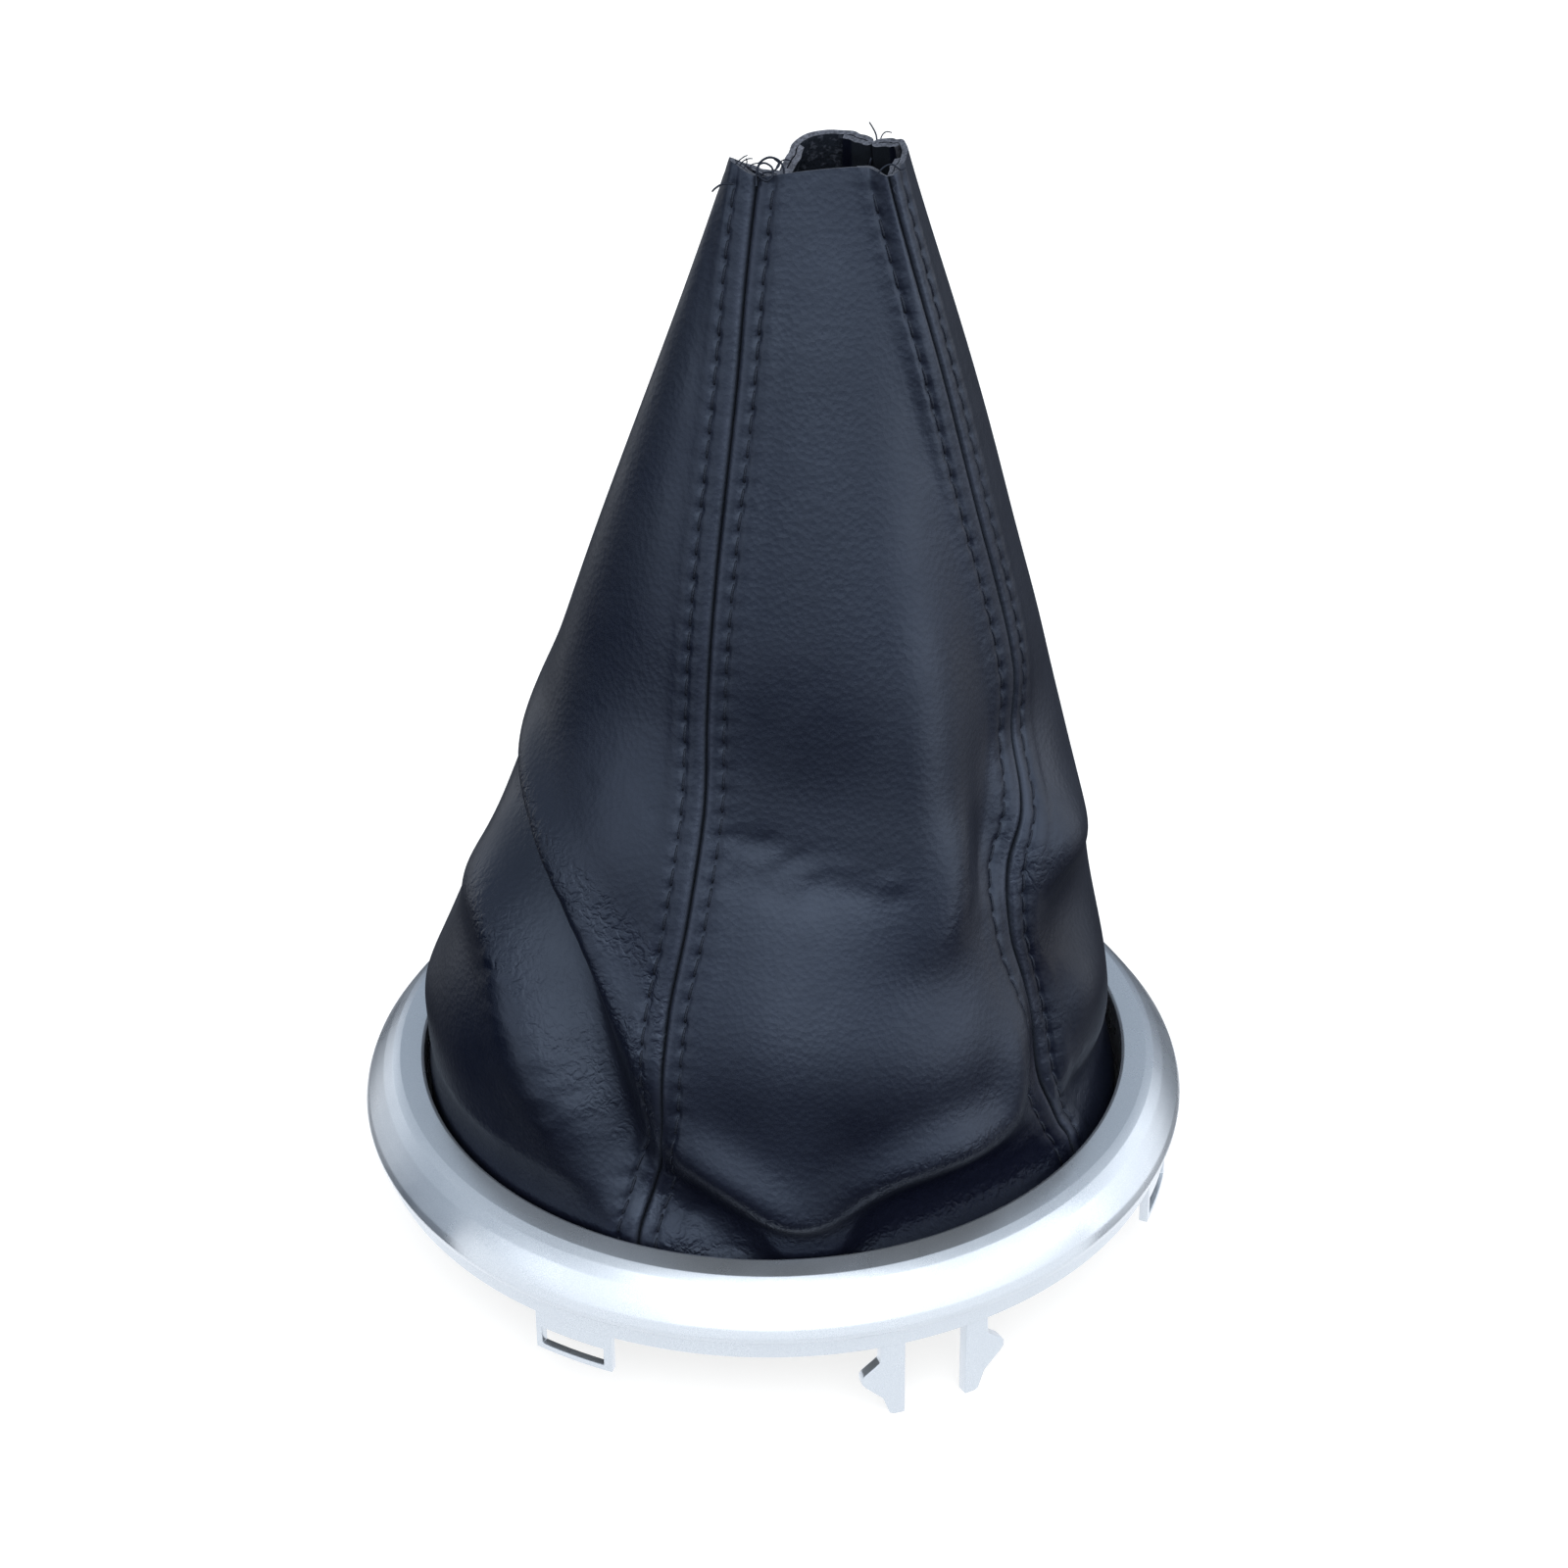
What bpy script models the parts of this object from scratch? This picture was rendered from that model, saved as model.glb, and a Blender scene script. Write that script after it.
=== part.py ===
"""Gear lever gaiter: a sewn leatherette boot on a round snap-in trim ring.

The boot is four sewn panels. Each panel is one sheet whose two long edges are folded under as seam
allowances. Four closing seams join the panels, and two rows of topstitching run beside each seam.
The boot's lower edge hangs inside the trim ring's collar, where a retaining hoop holds it.
Sizes are in millimetres in the constants and in metres in the meshes. +Z is up, the front is -Y,
and the origin is on the surface that the hook tips stand on, at the ring's centre.
"""

import math

import bmesh
import bpy
import numpy as np
from mathutils import Vector

MM = 0.001
GAP = 0.3  # clearance kept between neighbouring pieces

# trim ring, one moulding
LIP_Z = 26.0  # height of the lip above the hook tips
COLLAR_R = 55.4  # inner radius of the ring's opening
COLLAR_DEPTH = 9.0
WALL = 1.7
CREST_R = 59.2  # line where the flat lip turns into the outer band
RING_R = 65.0  # widest radius of the band
BAND_DEPTH = 9.1  # from the lip to the band's lower edge
SKIRT_R = 63.4
SKIRT_DEPTH = 12.4  # from the lip to the skirt's lower edge
SKIRT_WALL = 1.6
RING_STEPS = 84
HOOP_STEPS = 48

# hooks and loops under the skirt
HOOK_GROUPS = (0.0, 128.0, -128.0)  # azimuths of the hook pairs
HOOK_GAP = 10.0  # between the two legs of a pair
HOOK_WIDTH = 3.7
HOOK_THICK = 1.9
BARB = 3.0
LOOPS = (-51.0, 51.0, 180.0)  # azimuths of the loops
LOOP_WIDTH = 13.2
LOOP_DEPTH = 19.3  # from the lip to the loop's lower edge

# retaining hoop
HOOP_TOP = -6.4
HOOP_FLANGE_Z = -10.9
HOOP_WALL = 1.4

# leatherette boot
BOOT_R = 54.9  # outer face of the leather where it passes the lip
SHEET = 1.0  # thickness of the leatherette
ALLOWANCE = (6.4, 4.0)  # width folded under at each seam, at the ring and at the mouth
ROW_OFFSET = 3.0  # topstitching, from the middle of the seam
SOFTEN = 3.0
THREAD_R = 0.28
SEAM_THREAD_R = 0.25
TURN = 22.4  # the mouth's long axis is turned from X by this about Z

# The mouth's outline before the turn, from the front left seam round by the front: x, y, height above the lip.
# It is squashed along X: flat on the left, open on the right, with a high arch at the back.
MOUTH = (
    (-0.8, -2.9, 149.2),  # front left seam
    (3.0, -4.1, 150.1),
    (9.3, -4.0, 150.7),
    (14.4, -3.6, 150.6),
    (17.4, -4.7, 149.8),  # front right seam
    (19.3, -2.2, 150.7),
    (20.4, 2.0, 151.0),
    (19.3, 6.0, 150.8),
    (15.8, 7.2, 150.3),  # back right seam
    (12.8, 9.6, 150.4),
    (8.9, 10.2, 150.6),
    (4.8, 8.4, 150.1),
    (2.2, 4.2, 147.2),  # back left seam
    (-1.5, 3.0, 148.4),
    (-4.8, 0.7, 150.7),  # left corner
    (-3.7, -1.7, 150.4),
)
SEAM_KNOTS = (0, 4, 8, 12)  # places of the four seams in MOUTH
SEAM_AZIMUTHS = (-19.5, 58.0, 162.0, 243.0)  # the same seams at the ring, before the turn

# Each seam wanders a little from its straight line: height as a share of the boot, degrees.
WANDER = (
    ((0.0, -2.3), (0.055, -1.0), (0.1, 0.5), (0.15, 1.0), (0.24, 0.8), (0.33, 2.4), (0.42, 3.1), (0.51, 1.8), (0.64, 1.7),
     (0.81, 2.4), (0.92, 0.8), (1.0, 0.0)),
    ((0.0, 1.2), (0.02, -0.2), (0.085, -5.0), (0.15, -5.7), (0.21, -6.4), (0.255, -7.7), (0.295, -7.0), (0.33, -4.4),
     (0.372, 1.4), (0.42, 6.8), (0.475, 9.4), (0.535, 9.9), (0.6, 9.0), (0.68, 6.8), (0.8, 4.8), (0.93, 2.0), (1.0, 0.0)),
    ((0.0, 0.0), (0.25, 3.0), (0.5, -2.0), (0.75, -1.0), (1.0, 0.0)),
    ((0.0, 0.0), (0.25, -3.0), (0.5, 2.0), (0.75, 1.0), (1.0, 0.0)),
)

# Folds of the leather: azimuth before the turn, share of the height, mm outwards, half-width in mm.
FOLDS = (
    # left: a broad swell of the upper cone, a hollow over a flat bulge, its edge, the valley under it and the lobe
    ((-100, 0.85, 0.6, 22), (-98, 0.62, 1.6, 24), (-98, 0.48, 0.5, 20)),
    ((96, 0.90, 0.9, 18), (96, 0.72, 1.5, 20), (92, 0.56, 1.0, 18)),
    ((-62, 0.50, -1.2, 14), (-46, 0.49, -1.8, 14), (-30, 0.48, -1.8, 13), (-18, 0.47, -1.4, 12)),
    ((-52, 0.37, 1.0, 9), (-40, 0.355, 1.8, 10), (-26, 0.345, 1.4, 10)),
    ((-104, 0.47, 0.3, 6), (-88, 0.43, 1.0, 5), (-76, 0.40, 1.8, 4.5), (-66, 0.382, 2.4, 4.2), (-57, 0.362, 2.7, 4),
     (-50, 0.347, 3.0, 4), (-43, 0.318, 3.1, 4), (-37.5, 0.288, 3.1, 4), (-32, 0.253, 2.9, 4),
     (-27, 0.213, 2.4, 4.2), (-23, 0.18, 1.8, 4.5), (-20.8, 0.145, 0.8, 5)),
    ((-104, 0.37, 0.2, 6), (-93, 0.365, -0.5, 6), (-85, 0.355, -1.6, 5.5), (-77, 0.345, -3.2, 5.5), (-66, 0.33, -4.8, 5.5),
     (-56, 0.308, -5.6, 5.5), (-48, 0.278, -6.2, 5.5), (-42, 0.243, -6.2, 5.5), (-36, 0.20, -5.8, 6), (-31, 0.15, -5.4, 6),
     (-27, 0.105, -4.8, 6), (-22, 0.055, -4.6, 6), (-13, 0.026, -4.8, 6), (-6, 0.004, -4.6, 6), (-1, -0.006, -2.6, 5)),
    ((-14, 0.10, 1.4, 5), (-7, 0.078, 1.8, 5), (-1, 0.052, 1.8, 5), (3, 0.028, 1.4, 5)),
    ((-106, 0.20, -0.6, 8), (-96, 0.23, -0.8, 6), (-87, 0.245, 0.8, 5.5), (-77, 0.258, 2.6, 5.5), (-66, 0.262, 3.2, 5.5),
     (-58, 0.243, 2.8, 5.5), (-52, 0.205, 2.4, 6), (-46, 0.165, 2.4, 6.5), (-40, 0.12, 2.2, 7), (-35, 0.08, 1.8, 8)),
    ((-98, 0.325, -0.6, 7), (-94, 0.19, -1.6, 6), (-80, 0.19, 0.6, 7), (-68, 0.18, 1.6, 9), (-57, 0.15, 1.6, 9), (-49, 0.11, 1.2, 9)),
    ((-92, 0.10, 1.6, 7), (-84, 0.105, 2.4, 7), (-74, 0.11, 1.8, 9), (-62, 0.09, 1.2, 9), (-54, 0.06, 1.0, 9)),
    # front: a ridge down the right of the panel with a hollow beside the seam, a hollow over a lobe over the ring
    ((22, 0.91, 0.3, 7), (26, 0.77, 0.8, 8), (28, 0.66, 1.6, 9), (30, 0.58, 2.4, 9), (30, 0.51, 3.0, 9), (29, 0.44, 3.2, 9),
     (27, 0.385, 3.0, 9), (24, 0.335, 2.4, 9), (20, 0.29, 1.6, 9)),
    ((47, 0.80, -0.4, 6), (50, 0.70, -0.8, 7), (53, 0.60, -1.4, 8), (54, 0.50, -1.8, 8), (52, 0.43, -2.0, 8),
     (48, 0.37, -1.2, 7)),
    ((-10, 0.43, -2.5, 13), (4, 0.43, -3.6, 14), (16, 0.42, -3.2, 13)),
    ((-12, 0.395, -0.5, 4), (1, 0.378, -0.8, 4), (12, 0.363, -0.8, 4), (21, 0.35, -0.5, 4)),
    ((-14, 0.22, 2.0, 14), (0, 0.20, 4.0, 15), (14, 0.19, 4.4, 15), (28, 0.18, 4.0, 13), (38, 0.17, 3.0, 10)),
    ((46, 0.20, 1.2, 5), (45, 0.15, 1.8, 5), (43, 0.10, 1.8, 5), (42, 0.06, 1.0, 5)),
    ((2, 0.14, 0.8, 8), (4.5, 0.09, 2.4, 7), (6, 0.04, 3.4, 6), (6.2, 0.0, 3.0, 5)),
    ((13, 0.055, 1.4, 5), (20, 0.065, 2.0, 5.5), (30, 0.068, 2.4, 5.5), (40, 0.065, 1.6, 5)),
    ((12, -0.006, -2.6, 5), (20, 0.0, -4.2, 6), (32, 0.0, -4.6, 6.5), (44, 0.0, -4.6, 6.5), (55, 0.003, -3.8, 5.5)),
    # right: a hollow along the seam, a crest beside it, a crease under the crest and a bulge over the ring
    ((51, 0.37, -1.2, 6), (48, 0.31, -2.0, 6), (48, 0.26, -2.4, 6), (51, 0.20, -2.6, 6), (54, 0.13, -2.6, 6)),
    ((63, 0.31, 1.8, 7), (73, 0.30, 1.9, 8), (86, 0.285, 1.4, 9)),
    ((58, 0.44, -0.8, 7), (70, 0.43, -1.2, 8)),
    ((97, 0.56, 0.9, 11), (97, 0.40, 1.0, 10), (98, 0.24, 1.2, 12)),
    ((62, 0.225, -2.2, 7), (74, 0.215, -2.0, 8), (86, 0.205, -0.6, 8)),
    ((60, 0.16, 1.8, 6), (70, 0.15, 2.4, 7), (84, 0.15, 1.2, 9)),
    ((57, 0.05, -2.4, 6), (66, 0.02, -4.0, 6), (80, 0.01, -3.6, 6), (96, 0.01, -1.6, 6)),
    # back: one long valley between two bulges
    ((112, 0.28, -0.8, 8), (130, 0.25, -2.8, 9), (160, 0.22, -3.8, 9), (190, 0.25, -3.6, 9), (215, 0.28, -3.0, 9),
     (238, 0.28, -1.6, 8)),
    ((118, 0.10, 1.6, 10), (150, 0.09, 2.4, 11), (185, 0.10, 2.6, 12), (220, 0.10, 2.4, 11), (246, 0.11, 1.0, 10)),
)

LEVELS = (-0.056, -0.042, -0.022, -0.002, 0.02, 0.045, 0.075, 0.11, 0.15, 0.19, 0.23, 0.265, 0.3, 0.34, 0.38, 0.44, 0.52, 0.64, 0.8, 1.0)
ACROSS = 11  # points across the outer face of a panel


def ease(a, b, x):
    t = np.clip((x - a) / (b - a), 0, 1)
    return t * t * (3 - 2 * t)


def mouth(t):
    """The mouth's outline at knot t, a closed curve through MOUTH."""
    knots = np.array(MOUTH, float)
    i = np.floor(t).astype(int)
    f = (t - i)[..., None]
    a, b, c, d = (knots[(i + k) % len(knots)] for k in (-1, 0, 1, 2))
    return 0.5 * (2 * b + (c - a) * f + (2 * a - 5 * b + 4 * c - d) * f**2 + (3 * b - a - 3 * c + d) * f**3)


def fold_sources(folds):
    """The folds as rows of bells: azimuth, height share, mm per degree, width, and lift shared out along the path."""
    rows = []
    for path in folds:
        for (ua, va, la, wa), (ub, vb, lb, wb) in zip(path, path[1:]):
            around = math.radians(1) * (55 - 45 * (va + vb) / 2)
            length = math.hypot((ub - ua) * around, (vb - va) * 150)
            count = math.ceil(length / (0.6 * min(wa, wb)))
            for n in range(count):
                t = (n + 0.5) / count
                width = wa + (wb - wa) * t
                lift = (la + (lb - la) * t) * length / count / (width * math.sqrt(math.pi))
                rows.append((ua + (ub - ua) * t, va + (vb - va) * t, around, width, lift))
    return np.array(rows).T


def fold_height(u, v):
    """How far the folds lift the leather, in mm."""
    total = np.zeros(u.shape)
    for uk, vk, around, width, lift in SOURCES.T:
        across = ((u - uk + 180) % 360 - 180) * around
        total += lift * np.exp(-(across**2 + ((v - vk) * 150) ** 2) / width**2)
    return total


SOURCES = fold_sources(FOLDS)


def leather(u, v):
    """A point of the boot's outer face in mm, before the turn: azimuth u in degrees, height share v (below 0 inside the collar)."""
    u, v = np.broadcast_arrays(np.asarray(u, float), np.asarray(v, float))
    start = SEAM_AZIMUTHS[0]
    knot = np.interp((u - start) % 360 + start, (*SEAM_AZIMUTHS, start + 360), (*SEAM_KNOTS, len(MOUTH)))
    top = mouth(knot)
    a = np.radians(u)
    w = np.clip(v, 0, 1)[..., None]
    low = np.stack([BOOT_R * np.sin(a), -BOOT_R * np.cos(a), np.zeros_like(a)], -1)
    p = (1 - w) * low + w * top
    middle = np.stack([8.6 * w[..., 0], 1.8 * w[..., 0], p[..., 2]], -1)
    out = p - middle
    out /= np.linalg.norm(out, axis=-1, keepdims=True)
    left = 0.5 - 0.5 * np.sin(a)
    lift = 2.6 * np.sin(np.pi * w[..., 0] ** 0.8) + left * 2.2 * np.exp(-(((v - 0.16) / 0.13) ** 2))
    lift = lift + fold_height(u, v)
    # bulges end at the lip, hollows run on down to the hoop
    swell = (lift + np.sqrt(lift**2 + 0.2)) / 2
    lift = swell * ease(0.0, 0.05, v) + (lift - swell) * ease(-0.042, -0.008, v)
    p = p + out * lift[..., None]
    p[..., 2] += np.minimum(v, 0) * 150
    return p


def turned(p):
    """Row frame, in metres: turned about Z and raised so that the lip is at LIP_Z."""
    a = math.radians(TURN)
    x, y = p[..., 0], p[..., 1]
    return np.stack([x * math.cos(a) + y * math.sin(a), -x * math.sin(a) + y * math.cos(a), p[..., 2] + LIP_Z], -1) * MM


def through(x, knots):
    """A smooth curve through (x, y) knots, with no overshoot."""
    kx, ky = np.array(knots, float).T
    rise = np.diff(ky) / np.diff(kx)
    slope = np.concatenate([[0.0], np.where(rise[1:] * rise[:-1] > 0, (rise[1:] + rise[:-1]) / 2, 0.0), [0.0]])
    i = np.clip(np.searchsorted(kx, x, side="right") - 1, 0, len(kx) - 2)
    h = kx[i + 1] - kx[i]
    t = np.clip((x - kx[i]) / h, 0, 1)
    a, b = ky[i], ky[i + 1]
    return a + (b - a) * t * t * (3 - 2 * t) + h * t * (1 - t) * ((1 - t) * slope[i] - t * slope[i + 1])


def seam_azimuth(k, v):
    return SEAM_AZIMUTHS[k] + through(v, WANDER[k])


class Section:
    """The boot's outline at one height, by length along it, with the leather's outward normal."""

    made = {}

    @classmethod
    def of(cls, v):
        if v not in cls.made:
            cls.made[v] = cls(v)
        return cls.made[v]

    def __init__(self, v):
        self.u = np.arange(-60.0, 420.0, 0.5)
        e = 0.004
        self.p = leather(self.u, v)
        across = leather(self.u + 0.4, v) - leather(self.u - 0.4, v)
        up = leather(self.u, v + e) - leather(self.u, v - e)
        n = np.cross(across, up)
        self.n = n / np.linalg.norm(n, axis=-1, keepdims=True)
        step = np.linalg.norm(np.diff(self.p, axis=0), axis=1)
        self.s = np.concatenate([[0], np.cumsum(step)])
        self.v = v
        # the sheet is too stiff to follow a corner: its normals are averaged over a few millimetres
        even = np.arange(0, self.s[-1], 0.5)
        bell = np.exp(-((np.arange(-16, 17) * 0.5 / SOFTEN) ** 2))
        self.even = even
        self.n_even = np.stack([np.convolve(np.interp(even, self.s, self.n[:, k]), bell / bell.sum(), "same") for k in range(3)], -1)
        self.n_even /= np.linalg.norm(self.n_even, axis=-1, keepdims=True)

    def length_at(self, azimuth):
        return float(np.interp(azimuth, self.u, self.s))

    def at(self, s, depth):
        s, depth = np.asarray(s, float), np.asarray(depth, float)
        p = np.stack([np.interp(s, self.s, self.p[:, k]) for k in range(3)], -1)
        n = np.stack([np.interp(s, self.even, self.n_even[:, k]) for k in range(3)], -1)
        return p - n * depth[..., None]


def new_object(name, mesh, material):
    obj = bpy.data.objects.new(name, mesh)
    bpy.context.scene.collection.objects.link(obj)
    mesh.materials.append(material)
    return obj


def skin(name, rings, material, caps="strip", closed_along=False):
    """A solid from rings of points: rings[i][j] in metres. caps "strip" closes an end between its two faces, "fan" closes a disc."""
    bm = bmesh.new()
    grid = [[bm.verts.new(Vector(q)) for q in ring] for ring in rings]
    count = len(rings[0])
    pairs = list(zip(grid, grid[1:])) + ([(grid[-1], grid[0])] if closed_along else [])
    for low, high in pairs:
        for j in range(count):
            k = (j + 1) % count
            bm.faces.new((low[j], low[k], high[k], high[j]))
    if not closed_along:
        for ring, flip in ((grid[0], True), (grid[-1], False)):
            if caps == "strip":
                for j in range(count // 2 - 1):
                    face = (ring[j], ring[j + 1], ring[count - 2 - j], ring[count - 1 - j])
                    bm.faces.new(tuple(reversed(face)) if flip else face)
            else:
                bm.faces.new(tuple(reversed(ring)) if flip else tuple(ring))
    bmesh.ops.recalc_face_normals(bm, faces=bm.faces)
    mesh = bpy.data.meshes.new(name)
    bm.to_mesh(mesh)
    bm.free()
    mesh.shade_smooth()
    mesh.set_sharp_from_angle(angle=math.radians(40))
    return new_object(name, mesh, material)


def panel_outline(length, v):
    """The hemmed sheet across its width, in length along the boot and depth into it: outer side, then inner side."""
    folded = ALLOWANCE[0] + (ALLOWANCE[1] - ALLOWANCE[0]) * max(v, 0)
    bend = SHEET / 2 + GAP / 2  # of the sheet's middle
    edge = GAP / 2
    turn = edge + SHEET + GAP / 2
    path = [(folded, SHEET / 2 + 2 * bend, 0, 1), (ROW_OFFSET, SHEET / 2 + 2 * bend, 0, 1)]
    for step in range(4):
        a = math.radians(90 + 60 * step)
        path.append((turn + bend * math.cos(a), SHEET / 2 + bend + bend * math.sin(a), math.cos(a), math.sin(a)))
    # the face is evenly spaced between the two rows of stitches
    stops = [ROW_OFFSET + (length - 2 * ROW_OFFSET) * k / (ACROSS - 1) for k in range(ACROSS)]
    middle = [(s, SHEET / 2, 0, -1) for s in stops]
    back = [(length - s, d, -ns, nd) for s, d, ns, nd in reversed(path)]
    whole = path + middle + back
    outer = [(s + ns * SHEET / 2, d + nd * SHEET / 2) for s, d, ns, nd in whole]
    inner = [(s - ns * SHEET / 2, d - nd * SHEET / 2) for s, d, ns, nd in whole]
    return outer + inner[::-1]


def make_panel(name, k, sections, material):
    rings = []
    for section in sections:
        a = section.length_at(float(seam_azimuth(k, section.v)))
        after = float(seam_azimuth((k + 1) % 4, section.v)) + (360 if k == 3 else 0)
        length = section.length_at(after) - a
        s, d = np.array(panel_outline(length, section.v)).T
        rings.append(turned(section.at(a + s, d)))
    return skin(name, rings, material)


def tube(name, points, radius, sides, material):
    """A thread: a round tube along points in metres."""
    points = np.asarray(points)
    ahead = np.gradient(points, axis=0)
    ahead /= np.linalg.norm(ahead, axis=1, keepdims=True)
    outward = points * (1, 1, 0) + (1e-4, 0, 0)
    side = np.cross(ahead, outward)
    side /= np.linalg.norm(side, axis=1, keepdims=True)
    up = np.cross(side, ahead)
    angles = [2 * math.pi * j / sides for j in range(sides)]
    rings = [[p + radius * (math.cos(a) * s + math.sin(a) * w) for a in angles] for p, s, w in zip(points, side, up)]
    return skin(name, rings, material, caps="fan")


def thread_path(k, offset, depth, heights):
    """Points beside seam k: offset along the leather, depth under its outer face."""
    points = []
    for v in heights:
        section = Section.of(v)
        points.append(section.at(section.length_at(float(seam_azimuth(k, v))) + offset, depth))
    return turned(np.array(points))


def ring_profile():
    """The trim ring's section: radius and height above the lip's plane, anticlockwise from the collar's inner foot."""
    z = -COLLAR_DEPTH
    return [
        (COLLAR_R, z), (COLLAR_R, -0.5), (COLLAR_R + 0.15, -0.12), (COLLAR_R + 0.6, 0.0),
        (CREST_R, -0.35), (CREST_R + 1.3, -1.2), (CREST_R + 2.8, -2.75), (CREST_R + 4.2, -4.7),
        (RING_R - 0.5, -6.3), (RING_R, -7.6), (RING_R - 0.2, -8.5), (RING_R - 0.9, -BAND_DEPTH + 0.05),
        (SKIRT_R, -BAND_DEPTH), (SKIRT_R, -SKIRT_DEPTH), (SKIRT_R - SKIRT_WALL, -SKIRT_DEPTH),
        (SKIRT_R - SKIRT_WALL, -7.0), (CREST_R - 0.2, -2.6), (COLLAR_R + WALL, -2.3), (COLLAR_R + WALL, z),
    ]


def spun(name, profile, steps, material):
    rings = []
    for i in range(steps):
        a = 2 * math.pi * i / steps
        rings.append([(r * math.sin(a) * MM, -r * math.cos(a) * MM, (z + LIP_Z) * MM) for r, z in profile])
    return skin(name, rings, material, closed_along=True)


def on_ring(azimuth, along, radius, z):
    """A point at a radius, moved along the ring by a length at the skirt, in metres."""
    a = math.radians(azimuth) + along / SKIRT_R
    return (radius * math.sin(a) * MM, -radius * math.cos(a) * MM, (z + LIP_Z) * MM)


def plate(name, azimuth, outline, inner, outer):
    """A flat tongue under the skirt: its outline in (along the tangent, height), between two distances from the axis."""
    a = math.radians(azimuth)
    ahead, out = Vector((math.cos(a), math.sin(a), 0)), Vector((math.sin(a), -math.cos(a), 0))
    rings = [[(ahead * t + out * r + Vector((0, 0, z + LIP_Z))) * MM for t, z in outline] for r in (inner, outer)]
    return skin(name, rings, PLASTIC, caps="fan")


def loop(name, azimuth, top, inner, outer):
    """A plate with a window, bent to the skirt: a frame round the window, closed on itself."""
    half, left, right = LOOP_WIDTH / 2, -LOOP_WIDTH / 2 + 1.05, LOOP_WIDTH / 2 - 1.35
    low, sill, head = -LOOP_DEPTH, -LOOP_DEPTH + 0.95, -15.2
    steps = 5
    frame = []
    for i in range(steps + 1):
        f = i / steps
        frame.append((-half + 2 * half * f, low, left + (right - left) * f, sill))
    for i in range(steps + 1):
        f = 1 - i / steps
        frame.append((-half + 2 * half * f, top, left + (right - left) * f, head))
    rings = []
    for t, z, tw, zw in frame:
        rings.append([on_ring(azimuth, t, outer, z), on_ring(azimuth, tw, outer, zw), on_ring(azimuth, tw, inner, zw), on_ring(azimuth, t, inner, z)])
    return skin(name, rings, PLASTIC, closed_along=True)


def join_solids(target, tools):
    """Boolean union of the tools into the target."""
    for tool in tools:
        mod = target.modifiers.new("union", "BOOLEAN")
        mod.operation, mod.solver, mod.object = "UNION", "EXACT", tool
        bpy.context.view_layer.update()
        evaluated = target.evaluated_get(bpy.context.evaluated_depsgraph_get())
        mesh = bpy.data.meshes.new_from_object(evaluated)
        target.modifiers.clear()
        target.data = mesh
        bpy.data.objects.remove(tool)
    target.data.shade_smooth()
    target.data.set_sharp_from_angle(angle=math.radians(32))


def make_trim_ring():
    ring = spun("trim_ring", ring_profile(), RING_STEPS, PLASTIC)
    tools = []
    root = -SKIRT_DEPTH + 2.2
    inner, outer = SKIRT_R - HOOK_THICK - 0.2, SKIRT_R - 0.2
    for azimuth in HOOK_GROUPS:
        for side in (-1, 1):
            shape = [
                (-HOOK_WIDTH / 2, root), (HOOK_WIDTH / 2, root), (HOOK_WIDTH / 2 + 0.15, -14.9), (HOOK_WIDTH / 2 + 0.2, -15.6),
                (HOOK_WIDTH / 2 + BARB, -18.0), (HOOK_WIDTH / 2 + BARB, -19.3), (0.1, -LIP_Z), (-HOOK_WIDTH / 2, -LIP_Z),
            ]
            at = azimuth + side * math.degrees((HOOK_GAP + HOOK_WIDTH) / 2 / SKIRT_R)
            tools.append(plate("hook", at, [(side * t, z) for t, z in shape], inner, outer))
    for azimuth in LOOPS:
        tools.append(loop("loop", azimuth, root, SKIRT_R - 1.5, SKIRT_R - 0.12))
    join_solids(ring, tools)
    return ring


def make_hoop():
    """The retaining hoop inside the boot's foot, with a flange under the collar."""
    depth = 2 * SHEET + GAP
    r = BOOT_R - depth - GAP
    low = HOOP_FLANGE_Z
    profile = [
        (r - HOOP_WALL, low), (r - HOOP_WALL, HOOP_TOP), (r, HOOP_TOP), (r, low + HOOP_WALL),
        (COLLAR_R + WALL + 1.2, low + HOOP_WALL), (COLLAR_R + WALL + 1.2, low),
    ]
    return spun("retaining_hoop", profile, HOOP_STEPS, BLACK_PLASTIC)


def material(name, colour, roughness, metallic):
    m = bpy.data.materials.new(name)
    m.use_nodes = True
    bsdf = m.node_tree.nodes["Principled BSDF"]
    bsdf.inputs["Base Color"].default_value = (*colour, 1)
    bsdf.inputs["Roughness"].default_value = roughness
    bsdf.inputs["Metallic"].default_value = metallic
    m.diffuse_color = (*colour, 1)
    return m


for old in list(bpy.data.objects):
    bpy.data.objects.remove(old)

PLASTIC = material("silver_plastic", (0.66, 0.69, 0.72), 0.32, 0.55)
BLACK_PLASTIC = material("black_plastic", (0.025, 0.025, 0.028), 0.5, 0.0)
LEATHER = material("black_leatherette", (0.028, 0.031, 0.045), 0.45, 0.0)
THREAD = material("black_thread", (0.012, 0.012, 0.016), 0.7, 0.0)

sections = [Section.of(v) for v in LEVELS]
for index, panel in enumerate(("front_panel", "right_panel", "back_panel", "left_panel")):
    make_panel(panel, index, sections, LEATHER)

for index, seam in enumerate(("front_left", "front_right", "back_right", "back_left")):
    for side, offset in (("left", -ROW_OFFSET), ("right", ROW_OFFSET)):
        path = thread_path(index, offset, -(GAP + THREAD_R), LEVELS[4:])
        tube(f"topstitch_{seam}_{side}", path, THREAD_R * MM, 4, THREAD)
    path = thread_path(index, 0.0, 2 * SHEET + 2 * GAP + SEAM_THREAD_R, LEVELS[4:])
    tube(f"closing_stitch_{seam}", path, SEAM_THREAD_R * MM, 4, THREAD)

make_hoop()
make_trim_ring()
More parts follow.
